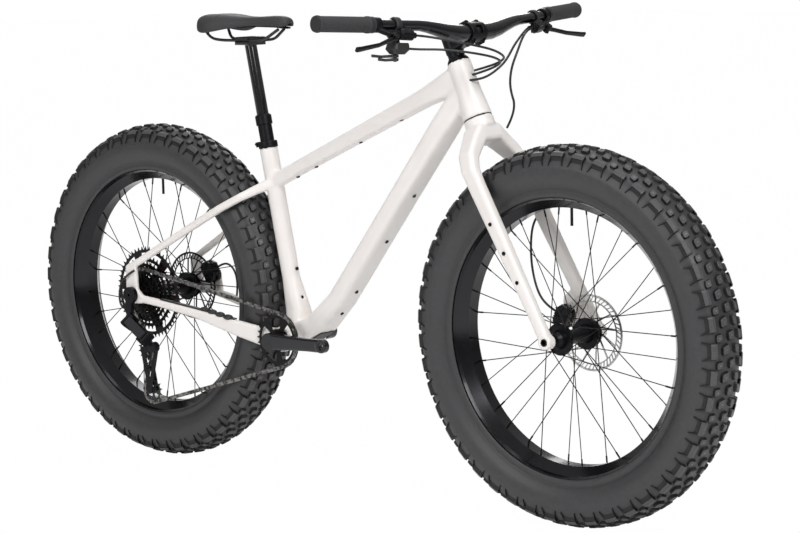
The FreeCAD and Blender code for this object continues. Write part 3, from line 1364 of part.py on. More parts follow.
def pill(start, end, radius, axis, low, high):
    # A bar with round ends, standing along the axis from low to high.
    axis = unit(axis)
    along = unit(end - start)
    side = axis.cross(along)
    a, b = start + axis * low, end + axis * low
    edges = [
        Part.Arc(a + side * radius, a - along * radius, a - side * radius).toShape(),
        Part.LineSegment(a - side * radius, b - side * radius).toShape(),
        Part.Arc(b - side * radius, b + along * radius, b + side * radius).toShape(),
        Part.LineSegment(b + side * radius, a + side * radius).toShape(),
    ]
    return Part.Face(Part.Wire(edges)).extrude(axis * (high - low))


link_way = unit(V(41, 10, -36))
spread_way = unit(V(0, 0.82, -0.57))
link_axis = unit(link_way.cross(spread_way))
spine_way = spread_way.cross(link_axis)
outer_top = V(rear_axle.x - 6, -value("rear_spacing") / 2 - 22.5, rear_axle.z - 59)
inner_top = outer_top + spread_way * value("link_spread")
outer_low = outer_top + link_way * value("link_length")
inner_low = inner_top + link_way * value("link_length")


def hinge_ears(first, second, back):
    # Two ears with pins through them, and the spine behind that joins them.
    half = value("link_height") / 2
    thick = value("ear_thickness")
    radius = value("link_radius") + 3
    shapes = []
    for low, high in ((half + gap, half + gap + thick), (-half - gap - thick, -half - gap)):
        shapes.append(pill(first, second, radius, link_axis, low, high))
    shift = back * (value("link_radius") + 4.4)
    end = half + gap + thick
    shapes.append(pill(first + shift, second + shift, 3.6, link_axis, -end, end))
    for place in (first, second):
        shapes.append(rod(place - link_axis * end, place + link_axis * end, 2))
    return shapes


def make_derailleur():
    face = -value("rear_spacing") / 2 - value("dropout_thickness") - gap
    outer = face - value("mount_thickness")
    axle_low = V(rear_axle.x, 0, rear_axle.z)
    arm_end = V(rear_axle.x - 5, 0, rear_axle.z - 35)
    disc = Part.makeCylinder(value("mount_radius"), face - outer, axle_low + V(0, outer, 0), left)
    arm = pill(axle_low, arm_end, 10, left, outer, face)
    mount = join([disc, arm] + hinge_ears(outer_top, inner_top, spine_way * -1))
    mount = mount.cut(rod(rear_axle - left * 150, rear_axle, value("rear_axle_radius + run_gap")))
    feature("derailleur_mount", mount)
    half = value("link_height") / 2
    hole = 2 + value("run_gap")
    for name, top, low in (("derailleur_outer_link", outer_top, outer_low),
                           ("derailleur_inner_link", inner_top, inner_low)):
        link = pill(top, low, value("link_radius"), link_axis, -half, half)
        for place in (top, low):
            link = link.cut(rod(place - link_axis * 40, place + link_axis * 40, hole))
        feature(name, link)
    cage_y = chain_y - value("cage_half") - value("cage_plate")
    barrel = rod(cage_pivot + V(0, cage_y - gap, 0), cage_pivot + V(0, cage_y - 15, 0), 12)
    knuckle = join([barrel] + hinge_ears(outer_low, inner_low, spine_way))
    socket = rod(cage_pivot + V(0, cage_y + 1, 0), cage_pivot + V(0, cage_y - 12, 0), 5 + value("run_gap"))
    feature("derailleur_knuckle", knuckle.cut(socket))
    make_cage(cage_y)


def make_cage(cage_y):
    plate_y = value("cage_plate")
    inner_y = chain_y + value("cage_half")
    stub = rod(cage_pivot + V(0, cage_y + plate_y, 0), cage_pivot + V(0, cage_y - 11, 0), 5)
    outer = [pill(cage_pivot, guide_place, 8, left, cage_y, cage_y + plate_y),
             pill(guide_place, tension_place, 7, left, cage_y, cage_y + plate_y),
             pill(cage_pivot, tension_place, 6, left, cage_y, cage_y + plate_y)]
    inner = pill(guide_place, tension_place, 7.5, left, inner_y, inner_y + plate_y)
    bolts = [rod(place + V(0, cage_y, 0), place + V(0, inner_y + plate_y, 0), 2.5)
             for place in (guide_place, tension_place)]
    feature("derailleur_cage", join([stub] + outer + [inner] + bolts))
    for name, wheel, place, teeth in (("guide_pulley", 2, guide_place, int(value("guide_teeth"))),
                                      ("tension_pulley", 3, tension_place, int(value("tension_teeth")))):
        disc = sprocket(teeth, 1.8, 1, roller_phase(wheel))
        disc = lightened(disc, 9, pitch_radius(teeth) - 8, 5, 0.6)
        half = value("cage_half") - gap
        disc = disc.fuse(Part.makeCylinder(5.5, 2 * half, V(0, 0, -half)))
        disc = disc.cut(Part.makeCylinder(2.5 + value("run_gap"), 60, V(0, 0, -30)))
        disc.Placement = turn_to(V(0, -1, 0), place + V(0, chain_y, 0))
        feature(name, disc.removeSplitter())


def line_port(path):
    # The hole that a line runs through where it enters the frame or fork.
    way = unit(path[1] - path[0])
    return rod(path[0] - way * 2, path[0] + way * 16, value("hose_radius") + gap)


def lever_line(side):
    # The first stretch of a brake hose, straight out of the lever body; side is 1 on the left.
    start = value("grip_length") + 96
    points = [by_lever(start + 2 * gap, 28, 3), by_lever(start + 22, 29, 3)]
    return [V(point.x, -side * point.y, point.z) for point in points]


def rear_brake_path():
    return lever_line(-1) + [V(392, -132, 998), V(422, -92, 987), V(439, -42, 975), V(434, 0, 961),
                             V(419, 21, 951), V(388, 21, 938), head_port(97, 12)]


def shift_path():
    start = value("grip_length") + 12
    depth = value("shifter_depth")
    return [on_bar(start + 79, 5, depth - 10), on_bar(start + 100, 8, depth - 8), V(385, -132, 978),
            V(417, -92, 971), V(434, -42, 961), V(429, -4, 951), V(415, 13, 942), V(386, 8, 929),
            head_port(87, 0)]


def dropper_path():
    start = value("grip_length") + 12
    points = [on_bar(start + 79, 4, 20), on_bar(start + 100, 8, 23)]
    return [V(point.x, -point.y, point.z) for point in points] + [
        V(374, 124, 988), V(388, 90, 974), V(400, 58, 955), V(402, 35, 938), V(388, 10, 918),
        V(372, -6, 910), head_port(77, -12)]


def front_hose_path():
    return lever_line(1) + [V(390, 126, 1000), V(408, 92, 988), V(418, 66, 966), V(412, 51, 930),
                            V(410, 48, 890), V(424, 53, 846), on_steerer(-34, 20, 56)]


def leg_hose_path():
    x, z = front_axle.x, front_axle.z
    mouth = on_steerer(-226, 4, 80)
    return [mouth, mouth - steer_ahead * 22 - steer_up * 6, V(x - 168, 74, z + 140), V(x - 146, 66, z + 76),
            V(x - 118, 64, z + 45.4), V(x - 90, 64, z + 34.6)]


def head_port(up, y):
    # Where a line enters the front of the head tube, a little below the skin.
    share = up / value("head_tube_length")
    skin = value("head_radius_top") + value("head_radius_bottom - head_radius_top") * (1 - share) * 0.6
    return on_steerer(up, math.sqrt(skin ** 2 - y ** 2) - 4, y)


def make_lines():
    radius = value("hose_radius")
    solids("frame_cables", [hose(path, radius) for path in (rear_brake_path(), shift_path(), dropper_path())])
    solids("front_brake_hose", [hose(path, radius) for path in (front_hose_path(), leg_hose_path())])
    x, z = rear_axle.x, rear_axle.z
    rear_hose = [
        V(x + 146, 88.6, z - 14), V(x + 151, 89, z + 18), V(x + 138, 88.5, z + 52), V(x + 110, 87, z + 63.5),
        V(x + 83.6, 87, z + 48.3)]
    housing = [
        V(x + 12, -111.4, z + 58), V(x - 8, -114, z + 48), V(x - 29, -116.5, z + 28),
        V(x - 38, -116.5, z - 2), V(x - 33, -116, z - 32), V(x - 15.5, -115.5, z - 33.9)]
    solids("rear_lines", [hose(rear_hose, radius), hose(housing, radius)])


def make_guards():
    # The chainstay guard and the cover below the bottom bracket.
    width = value("chainstay_width")
    beside = -value("tyre_width") / 2 - value("tyre_clearance") - width / 2
    top = gap + 1.5
    guard = loft([
        (V(bracket.x - 130, beside, bracket.z + 17 + 17.5 + top), V(-1, -0.12, 0.2), width * 0.7, 3),
        (V(bracket.x - 245, beside - 10, bracket.z + 40 + 10.5 + top), V(-1, -0.12, 0.16), width * 0.7, 3),
        (V(rear_axle.x + 86, 2.5 - value("rear_spacing") / 2, rear_axle.z - 15 + 8.5 + top),
         V(-1, -0.1, 0.13), width * 0.7, 3),
    ], left, 1.2)
    depth = value("down_tube_depth")
    along = unit(V(-0.8, 0, -0.62))
    below = V(-along.z, 0, along.x)
    along_low = unit(V(-0.9, 0, -0.4))
    below_low = V(-along_low.z, 0, along_low.x)
    cover = loft([
        (bracket + V(72, 0, 36) + below * (depth * 0.54 + top), along, 44, 2.4),
        (bracket + V(42, 0, 20) + below_low * (depth * 0.56 + top), along_low, 50, 2.4),
    ], left, 1)
    solids("frame_guards", [guard, cover])


for wheel, axle in (("front", front_axle), ("rear", rear_axle)):
    make_tyre(wheel + "_tyre", axle)
    make_rim(wheel + "_rim", axle)
make_spokes("front_spokes", front_axle, value("front_flange_half"), value("front_flange_half"))
make_spokes("rear_spokes", rear_axle, value("rear_flange_right"), value("rear_flange_left"))
make_front_hub()
make_rear_hub()
make_rotor("front_rotor", front_axle, value("front_rotor_y"))
make_rotor("rear_rotor", rear_axle, value("rear_rotor_y"))
make_brake("front", front_axle, value("front_rotor_y"), 159)
make_brake("rear", rear_axle, value("rear_rotor_y"), 30)
make_axles()
make_frame()
make_bolts("frame_bolts", boss_places())
make_headset()
make_fork()
make_bolts("fork_bolts", fork_boss_places() + stem_bolt_places())
make_stem()
make_bar()
make_grips()
make_controls()
make_seat()
make_cranks()
make_cassette()
make_derailleur()
make_chain()
make_lines()
make_guards()

doc.recompute()
for item in doc.Objects:
    if "Invalid" in item.State or "Error" in item.State:
        raise RuntimeError("failed: " + item.Label)
os.makedirs("parts", exist_ok=True)
for name, item in nodes.items():
    if item.Shape.isNull() or not item.Shape.isValid():
        raise RuntimeError("bad shape: " + name)
    item.Shape.exportStep("parts/%s.step" % name)
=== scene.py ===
import math

import bmesh
import bpy
import numpy as np
from mathutils import Matrix, Vector


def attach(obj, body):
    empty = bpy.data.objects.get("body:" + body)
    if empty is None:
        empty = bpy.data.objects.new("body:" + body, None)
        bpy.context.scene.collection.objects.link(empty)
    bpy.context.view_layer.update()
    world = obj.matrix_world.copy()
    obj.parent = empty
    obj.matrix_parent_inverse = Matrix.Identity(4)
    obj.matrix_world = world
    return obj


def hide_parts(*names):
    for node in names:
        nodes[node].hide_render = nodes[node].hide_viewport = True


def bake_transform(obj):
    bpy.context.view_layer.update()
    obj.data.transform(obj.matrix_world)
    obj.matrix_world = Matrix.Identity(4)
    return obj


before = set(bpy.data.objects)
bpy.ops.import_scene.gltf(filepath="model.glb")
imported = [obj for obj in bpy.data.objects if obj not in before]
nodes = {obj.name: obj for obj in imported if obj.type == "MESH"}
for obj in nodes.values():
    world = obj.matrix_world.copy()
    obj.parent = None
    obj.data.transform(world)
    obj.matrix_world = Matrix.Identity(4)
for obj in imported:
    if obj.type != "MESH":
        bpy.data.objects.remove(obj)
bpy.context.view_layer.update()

mm = 0.001
scene = bpy.context.scene


def hexColour(code):
    # sRGB hex to the linear colour that the shaders take
    parts = [int(code[i:i + 2], 16) / 255 for i in (1, 3, 5)]
    linear = [c / 12.92 if c <= 0.04045 else ((c + 0.055) / 1.055) ** 2.4 for c in parts]
    return (*linear, 1.0)


def perMm(size):
    # a texture scale that gives marks of this size in millimetres
    return 1 / (size * mm)


def addNode(tree, kind, settings=None, links=None):
    node = tree.nodes.new(kind)
    for key, setting in (settings or {}).items():
        if isinstance(key, int) or key in node.inputs:
            node.inputs[key].default_value = setting
        else:
            setattr(node, key, setting)
    for key, socket in (links or {}).items():
        tree.links.new(socket, node.inputs[key])
    return node


def newMaterial(name):
    mat = bpy.data.materials.new(name)
    mat.use_nodes = True
    tree = mat.node_tree
    place = addNode(tree, "ShaderNodeTexCoord")
    return mat, tree, tree.nodes["Principled BSDF"], place.outputs["Object"]


def noise(tree, place, size, detail):
    # values that wander, with marks of this size in millimetres
    return addNode(tree, "ShaderNodeTexNoise", {"Scale": perMm(size), "Detail": detail},
                   {"Vector": place}).outputs["Fac"]


def mixTones(tree, low, high, share):
    return addNode(tree, "ShaderNodeMix", {"data_type": "RGBA", 6: hexColour(low), 7: hexColour(high)},
                   {0: share}).outputs[2]


def stretch(tree, value, ends, given=(0.0, 1.0)):
    # carries a value from its given span over to another one
    settings = {"From Min": given[0], "From Max": given[1], "To Min": ends[0], "To Max": ends[1]}
    return addNode(tree, "ShaderNodeMapRange", settings, {"Value": value}).outputs["Result"]


def putOn(tree, shader, tone, rough):
    tree.links.new(tone, shader.inputs["Base Color"])
    tree.links.new(rough, shader.inputs["Roughness"])


grainDefaults = {"metal": 0.0, "coat": 0.0, "coatRough": 0.1, "ior": 1.5}
# painted shade in hollows: how many ambient occlusion samples, and how fast the shade deepens
paintedShadeLook = {"samples": 6, "falloff": 3.0}


def grainFinish(name, given):
    # one finish: two close tones, a roughness that wanders between two values and a fine bump, and where
    # asked for, painted shade in the hollows
    look = {**grainDefaults, **given}
    mat, tree, shader, place = newMaterial(name)
    grain = noise(tree, place, look["grain"], 5.0)
    tone = mixTones(tree, look["dark"], look["light"], grain)
    if "shadeReach" in look:
        # painted shade: the hollows between the blocks are darkened towards the shade colour, as the light
        # dies in them
        shade = addNode(tree, "ShaderNodeAmbientOcclusion",
                        {"samples": paintedShadeLook["samples"], "Distance": look["shadeReach"] * mm})
        depth = addNode(tree, "ShaderNodeMath", {"operation": "POWER", 1: paintedShadeLook["falloff"]},
                        {0: shade.outputs["AO"]})
        tone = addNode(tree, "ShaderNodeMix", {"data_type": "RGBA", 6: hexColour(look["deep"])},
                       {0: depth.outputs[0], 7: tone}).outputs[2]
    putOn(tree, shader, tone, stretch(tree, grain, (look["smooth"], look["rough"])))
    bump = addNode(tree, "ShaderNodeBump", {"Strength": look["bump"], "Distance": look["depth"] * mm},
                   {"Height": grain})
    tree.links.new(bump.outputs["Normal"], shader.inputs["Normal"])
    for socket, key in (("Metallic", "metal"), ("Coat Weight", "coat"), ("Coat Roughness", "coatRough")):
        shader.inputs[socket].default_value = look[key]
    if not look["metal"]:
        shader.inputs["IOR"].default_value = look["ior"]
    return mat


finishes = {
    # tyre rubber, moulded: a soft sheen over dark grey, with painted shade taking it near black where the
    # blocks crowd
    "tyreRubber": {"dark": "#2c2b2d", "light": "#3f3e40", "grain": 9, "smooth": 0.36, "rough": 0.56,
                   "bump": 0.25, "depth": 0.3, "ior": 1.56, "shadeReach": 16, "deep": "#060607"},
    # the tread blocks' flanks: painted shade, darker than the carcass as sides turned from the light, with
    # painted shade in their hollows too
    "treadFlankShaded": {"dark": "#0e0e0f", "light": "#19191a", "grain": 6, "smooth": 0.4, "rough": 0.6,
                    "bump": 0.3, "depth": 0.3, "shadeReach": 10, "deep": "#040404"},
    # the tread blocks' running faces: painted light, a shade paler where the light falls on their tops
    "treadFaceLit": {"dark": "#39383a", "light": "#4f4e50", "grain": 4, "smooth": 0.36, "rough": 0.56,
                  "bump": 0.3, "depth": 0.3, "ior": 1.56},
    # stud pockets: worn pale plugs in the tread blocks
    "studPocket": {"dark": "#6a6969", "light": "#8b8a8a", "grain": 2, "smooth": 0.4, "rough": 0.6,
                   "bump": 0.2, "depth": 0.1, "metal": 0.6},
    # grip rubber: softer and a little greyer than the tyres
    "gripRubber": {"dark": "#2b2b2d", "light": "#39393b", "grain": 2, "smooth": 0.65, "rough": 0.85,
                   "bump": 0.35, "depth": 0.2, "ior": 1.52},
    # anodised aluminium, bead blasted: satin black with a fine sparkle
    "anodisedAluminium": {"dark": "#1c1c1e", "light": "#2a2a2d", "grain": 1.2, "smooth": 0.3, "rough": 0.45,
                          "bump": 0.1, "depth": 0.05, "metal": 0.85},
    # the cranks: forged and clear coated, brighter along their worn edges
    "forgedCrank": {"dark": "#1c1c1f", "light": "#2b2b2f", "grain": 6, "smooth": 0.18, "rough": 0.3,
                    "bump": 0.06, "depth": 0.05, "metal": 0.7, "coat": 0.5},
    # the rims: polished black anodising that mirrors the pale room
    "polishedRim": {"dark": "#17171a", "light": "#212125", "grain": 30, "smooth": 0.16, "rough": 0.26,
                    "bump": 0.04, "depth": 0.1, "metal": 0.8, "coat": 0.4},
    # black steel: oxide coated spokes, bolts and small fittings
    "oxideSteel": {"dark": "#1a1a1b", "light": "#29292a", "grain": 2.5, "smooth": 0.32, "rough": 0.5,
                   "bump": 0.1, "depth": 0.05, "metal": 0.8},
    # stainless steel, ground: bright with a slight grey drift
    "stainlessSteel": {"dark": "#b4b3b1", "light": "#d2d1cf", "grain": 3, "smooth": 0.22, "rough": 0.38,
                       "bump": 0.12, "depth": 0.05, "metal": 1.0},
    # glass filled nylon, moulded: dark grey with a faint texture
    "mouldedNylon": {"dark": "#1d1d1f", "light": "#2b2b2d", "grain": 1, "smooth": 0.42, "rough": 0.6,
                     "bump": 0.2, "depth": 0.06, "ior": 1.53},
    # the dropper's stanchion: hard black coating, close to a mirror
    "glossStanchion": {"dark": "#0b0b0c", "light": "#121213", "grain": 20, "smooth": 0.08, "rough": 0.14,
                       "bump": 0.02, "depth": 0.05, "coat": 1.0, "coatRough": 0.05},
    # extruded hose sheath: smooth black polymer
    "hoseSheath": {"dark": "#161617", "light": "#222223", "grain": 4, "smooth": 0.3, "rough": 0.42,
                   "bump": 0.05, "depth": 0.05},
    # sintered brake pads: dull brown grey
    "padCompound": {"dark": "#4a4038", "light": "#6b5d50", "grain": 0.8, "smooth": 0.7, "rough": 0.9,
                    "bump": 0.4, "depth": 0.1},
    # the saddle's synthetic leather: charcoal with a fine pebble
    "saddleLeather": {"dark": "#262628", "light": "#363638", "grain": 1.6, "smooth": 0.5, "rough": 0.68,
                      "bump": 0.45, "depth": 0.15},
    # the thermoplastic shell below the saddle
    "saddleShell": {"dark": "#1a1a1b", "light": "#262627", "grain": 2, "smooth": 0.35, "rough": 0.5,
                    "bump": 0.1, "depth": 0.05},
}
made = {name: grainFinish(name, look) for name, look in finishes.items()}


pearl = {"light": "#f5f1ee", "dark": "#e9e3df", "cloud": 70, "rough": (0.4, 0.45), "coat": 0.3,
         "coatRough": 0.3}


def pearlPaint():
    # pearl lacquer on moulded carbon: warm off white with a slow cloudy drift in tone and sheen, clear coated
    mat, tree, shader, place = newMaterial("pearlPaint")
    cloud = noise(tree, place, pearl["cloud"], 3.0)
    tone = mixTones(tree, pearl["dark"], pearl["light"], cloud)
    putOn(tree, shader, tone, stretch(tree, cloud, pearl["rough"]))
    shader.inputs["Coat Weight"].default_value = pearl["coat"]
    shader.inputs["Coat Roughness"].default_value = pearl["coatRough"]
    return mat


cogLook = {"black": "#1c1c1d", "steel": "#4c4a49", "glintRed": "#6b2a26", "pitch": 3.65, "steelAt": 0.36,
           "blackAt": 0.6, "wearAndGlint": 14, "glintSpan": (0.63, 0.72), "rough": (0.3, 0.5), "metal": 0.85}


def cogSteel():
    # cassette: black coated cogs with worn steel ones between, banded across the axle, with scattered patches
    # of painted red glints
    mat, tree, shader, place = newMaterial("cogSteel")
    axes = addNode(tree, "ShaderNodeSeparateXYZ", None, {"Vector": place})
    band = addNode(tree, "ShaderNodeMath", {"operation": "MULTIPLY", 1: perMm(cogLook["pitch"] * 2)},
                   {0: axes.outputs["Y"]})
    saw = addNode(tree, "ShaderNodeMath", {"operation": "FRACT"}, {0: band.outputs[0]})
    ramp = addNode(tree, "ShaderNodeValToRGB", None, {"Fac": saw.outputs[0]})
    stops = ramp.color_ramp.elements
    for end in (0, 1):
        stops[end].color = hexColour(cogLook["black"])
    stops.new(cogLook["steelAt"]).color = hexColour(cogLook["steel"])
    stops.new(cogLook["blackAt"]).color = hexColour(cogLook["black"])
    # painted red glints: where this noise runs high a red glint colour is mixed over the cogs; the same noise
    # sets the roughness
    wearAndGlint = noise(tree, place, cogLook["wearAndGlint"], 4.0)
    tone = addNode(tree, "ShaderNodeMix", {"data_type": "RGBA", 7: hexColour(cogLook["glintRed"])},
                   {0: stretch(tree, wearAndGlint, (0.0, 1.0), cogLook["glintSpan"]), 6: ramp.outputs["Color"]})
    putOn(tree, shader, tone.outputs[2], stretch(tree, wearAndGlint, cogLook["rough"]))
    shader.inputs["Metallic"].default_value = cogLook["metal"]
    return mat


chainLook = {"plate": "#8f8d8a", "dark": "#3d3c3b", "grain": 7, "oily": (0.42, 0.6), "rough": (0.28, 0.45),
             "metal": 0.9}


def chainSteel():
    # nickelled chain with oil in the links: grey plates that darken in patches
    mat, tree, shader, place = newMaterial("chainSteel")
    oil = noise(tree, place, chainLook["grain"], 3.0)
    share = stretch(tree, oil, (0.0, 1.0), chainLook["oily"])
    putOn(tree, shader, mixTones(tree, chainLook["plate"], chainLook["dark"], share),
          stretch(tree, oil, chainLook["rough"]))
    shader.inputs["Metallic"].default_value = chainLook["metal"]
    return mat


made.update(pearlPaint=pearlPaint(), cogSteel=cogSteel(), chainSteel=chainSteel())
print("materials:", len(made))


# how CAD meshes are readied: weld distance in mm, what counts as flat in degrees, and the two smoothing steps
meshWork = {"weld": 0.01, "flat": 0.4, "halvings": 5, "steps": [0.5, -0.52], "blur": 0.5}


def newPiece(name, mesh):
    piece = bpy.data.objects.new(name, mesh)
    scene.collection.objects.link(piece)
    return piece


def plainMesh(piece):
    # the evaluated mesh, with its modifiers worked in
    graph = bpy.context.evaluated_depsgraph_get()
    return bpy.data.meshes.new_from_object(piece.evaluated_get(graph))


def settle(piece, mesh, finish, smooth=True):
    # the finished plain mesh takes the place of the working one
    piece.modifiers.clear()
    piece.data = mesh
    mesh.materials.clear()
    mesh.materials.append(made[finish])
    mesh.polygons.foreach_set("use_smooth", [smooth] * len(mesh.polygons))
    mesh.update()
    return piece


def plainPiece(name, mesh, finish):
    return settle(newPiece(name, mesh), mesh, finish)


def enter(piece, body, slot, node=None):
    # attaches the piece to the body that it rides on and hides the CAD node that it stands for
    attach(piece, body)
    if node:
        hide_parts(node)


def skinRings(bm, rings):
    # joins rings of points that have equal counts into a body closed at both ends
    rows = [[bm.verts.new(p) for p in ring] for ring in rings]
    for a, b in zip(rows, rows[1:]):
        for i in range(len(a)):
            j = (i + 1) % len(a)
            bm.faces.new((a[i], a[j], b[j], b[i]))
    bm.faces.new(rows[0][::-1])
    bm.faces.new(rows[-1])


def closedMesh(name, bm):
    # what was drawn, as a mesh with its faces turned outwards
    bmesh.ops.recalc_face_normals(bm, faces=bm.faces)
    mesh = bpy.data.meshes.new(name)
    bm.to_mesh(mesh)
    bm.free()
    return mesh


def ringMesh(name, rings):
    bm = bmesh.new()
    skinRings(bm, rings)
    return closedMesh(name, bm)


def reworkedCopy(node, rework):
    # a copy of a CAD node's mesh with its seams closed and then worked over
    mesh = nodes[node].data.copy()
    bm = bmesh.new()
    bm.from_mesh(mesh)
    bmesh.ops.remove_doubles(bm, verts=bm.verts, dist=meshWork["weld"] * mm)
    rework(bm)
    bm.to_mesh(mesh)
    bm.free()
    return mesh


def softened(piece, voxel, rounds, swell=0.0):
    # melts a body together and rounds its edges; the swell makes up for what the rounding takes
    remesh = piece.modifiers.new("voxels", "REMESH")
    remesh.mode = "VOXEL"
    remesh.voxel_size = voxel * mm
    blur = piece.modifiers.new("blend", "SMOOTH")
    blur.factor = meshWork["blur"]
    blur.iterations = rounds
    if swell:
        push = piece.modifiers.new("swell", "DISPLACE")
        push.mid_level = 0.0
        push.strength = swell * mm
    return plainMesh(piece)


# Moulded, forged and cast pieces: the CAD solids with their edges and joints rounded as the tools leave them
carbonShell = {"finish": "pearlPaint", "slot": "pearl_carbon", "swell": 0.35, "longest": 14}
nylonShell = {"finish": "mouldedNylon", "slot": "black_plastic"}
shellDefaults = {"finish": "anodisedAluminium", "slot": "black_alloy", "voxel": 0.7, "rounds": 4,
                 "swell": 0.2, "calm": 0, "longest": 0}
shells = {
    "frameShell": {"node": "frame", "body": "frame", "voxel": 2.7, "calm": 60, **carbonShell},
    "forkShell": {"node": "fork", "body": "fork", "voxel": 2.4, "calm": 40, **carbonShell},
    "rightCrankArm": {"node": "right_crank_arm", "body": "crank", "voxel": 0.9, "finish": "forgedCrank"},
    "leftCrankArm": {"node": "left_crank_arm", "body": "crank", "voxel": 0.9, "finish": "forgedCrank"},
    "stemBody": {"node": "stem", "body": "fork", "voxel": 0.8},
    "stemFace": {"node": "stem_faceplate", "body": "fork"},
    "leverBodies": {"node": "brake_lever_bodies", "body": "fork", "voxel": 0.8},
    "rightBrakeBlade": {"node": "right_brake_lever", "body": "right_brake_lever"},
    "leftBrakeBlade": {"node": "left_brake_lever", "body": "left_brake_lever"},
    "shifterCase": {"node": "shifter_body", "body": "fork", "voxel": 0.8, "swell": 1.2, **nylonShell},
    "shiftThumb": {"node": "shift_thumb_lever", "body": "shift_thumb_lever", "voxel": 0.6, "swell": 0.6,
                   **nylonShell},
    "shiftRelease": {"node": "shift_release_lever", "body": "shift_release_lever", "voxel": 0.6, "swell": 0.6,
                     **nylonShell},
    "dropperPaddle": {"node": "dropper_lever", "body": "dropper_lever", "voxel": 0.6, **nylonShell},
    "dropperRemote": {"node": "dropper_remote_body", "body": "fork", "voxel": 0.8, **nylonShell},
    "derailleurOuterLink": {"node": "derailleur_outer_link", "body": "derailleur_outer_link", "rounds": 24},
    "derailleurInnerLink": {"node": "derailleur_inner_link", "body": "derailleur_inner_link", "rounds": 24},
    "derailleurKnuckle": {"node": "derailleur_knuckle", "body": "derailleur_knuckle"},
    "derailleurHanger": {"node": "derailleur_mount", "body": "frame"},
    "seatCollar": {"node": "seat_clamp", "body": "frame"},
}


def evenFacets(bm, longest):
    # flat slivers are melted together, then long edges halved, so that the voxels meet well shaped facets
    if not longest:
        return
    bmesh.ops.dissolve_limit(bm, angle_limit=math.radians(meshWork["flat"]), verts=bm.verts,
                              edges=bm.edges)
    bmesh.ops.triangulate(bm, faces=bm.faces, quad_method="BEAUTY", ngon_method="BEAUTY")
    for _ in range(meshWork["halvings"]):
        long = [e for e in bm.edges if e.calc_length() > longest * mm]
        if not long:
            break
        bmesh.ops.subdivide_edges(bm, edges=long, cuts=1)
        bmesh.ops.triangulate(bm, faces=[f for f in bm.faces if len(f.verts) > 3])


def calmRipples(mesh, pairs):
    # evens ripples out without shrinking: each smoothing step is followed by a slightly longer step back
    places = np.empty(len(mesh.vertices) * 3)
    mesh.vertices.foreach_get("co", places)
    places = places.reshape(-1, 3)
    ends = np.empty(len(mesh.edges) * 2, dtype=np.int32)
    mesh.edges.foreach_get("vertices", ends)
    count = np.bincount(ends, minlength=len(places))
    near = ends.reshape(-1, 2)[:, ::-1].ravel()
    for step in meshWork["steps"] * pairs:
        sums = [np.bincount(ends, weights=places[near, axis], minlength=len(places)) for axis in range(3)]
        places += step * (np.stack(sums, axis=1) / count[:, None] - places)
    mesh.vertices.foreach_set("co", places.ravel())
    mesh.update()


def mouldedShell(name, look):
    shell = newPiece(name, reworkedCopy(look["node"], lambda bm: evenFacets(bm, look["longest"])))
    settle(shell, softened(shell, look["voxel"], look["rounds"], look["swell"]), look["finish"])
    calmRipples(shell.data, look["calm"])
    enter(shell, look["body"], look["slot"], look["node"])
    return shell


for shellName, shellLook in shells.items():
    shellPiece = mouldedShell(shellName, {**shellDefaults, **shellLook})
    print(shellName, len(shellPiece.data.polygons), "faces")


# Tyres: a turned carcass with a ring of tread blocks on it
tyre = {"radius": 393, "half": 57, "lug": 6, "shoulderHalf": 45, "shoulder": 372, "side": 338,
        "bead": 292.3, "lip": 298.6, "beadHalf": 37.1, "wall": 4, "pitches": 45, "segments": 240,
        "wallSteps": 22, "crownSteps": 18, "rib": 0.7, "ribSteps": (3, 15), "ribMiddle": 30}
pitchLength = math.tau / tyre["pitches"] * tyre["radius"]
axles = {"front": 606, "rear": -606}
axleHeight = 393
treadRows = [
    # across, stagger in pitches, half length, half width, height, slant of the front edge
    (7.6, 0.0, 8.0, 6.6, 6.0, 1.6),
    (-7.6, 0.5, 8.0, 6.6, 6.0, 1.6),
    (21.5, 0.5, 8.6, 6.8, 6.0, 2.6),
    (-21.5, 0.0, 8.6, 6.8, 6.0, 2.6),
    (33.8, 0.06, 7.0, 5.4, 5.6, 1.2),
    (-33.8, 0.56, 7.0, 5.4, 5.6, 1.2),
]
# a block's outline and its levels, as (share of its height, lift in mm, growth), for its flanks and its face
blockCorners = [(-1, -0.7), (-0.65, -1), (0.65, -1), (1, -0.7), (1, 0.7), (0.65, 1), (-0.65, 1), (-1, 0.7)]
flankLevels = [(0, -1.5, 1.25), (0.55, 0, 1.06), (1, -0.8, 0.98)]
faceLevels = [(1, -1.6, 0.9), (1, -0.6, 0.94), (1, 0, 0.84)]
sideRow = {
    "halfLong": 15.5, "stagger": 0.53,
    # edges of its steps: across, foot, top, half length at the top
    "edges": [(40.5, 372.0, 380.4, 14.0), (46.0, 368.0, 379.0, 13.4), (51.2, 362.0, 372.4, 13.0)],
    # the caps on the steps: how far they sink in, stand out and draw back
    "cap": (1.0, 0.5, 1.2),
    # ribs: reach past the block's end, then foot and top as (half thickness, across, radius) at both ends
    "ribReach": (-2.0, 4.0),
    "rib": [((1.4, 47.0, 366.0), (0.8, 54.0, 353.0)), ((1.2, 51.6, 372.5), (0.6, 56.6, 354.0))],
}
# stud plugs: sides, then (lift from the block's top, radius) at foot and top
stud = {"sides": 6, "levels": [(-1.0, 1.7), (0.25, 1.5)]}
# the rib that hangs over the rim's edge, as (across, radius), and the bare wall above it
rimGuard = [(40.6, 299.0), (40.6, 288.6), (42.0, 287.8), (43.6, 290.5), (44.4, 297.0)]
guardGap = 6


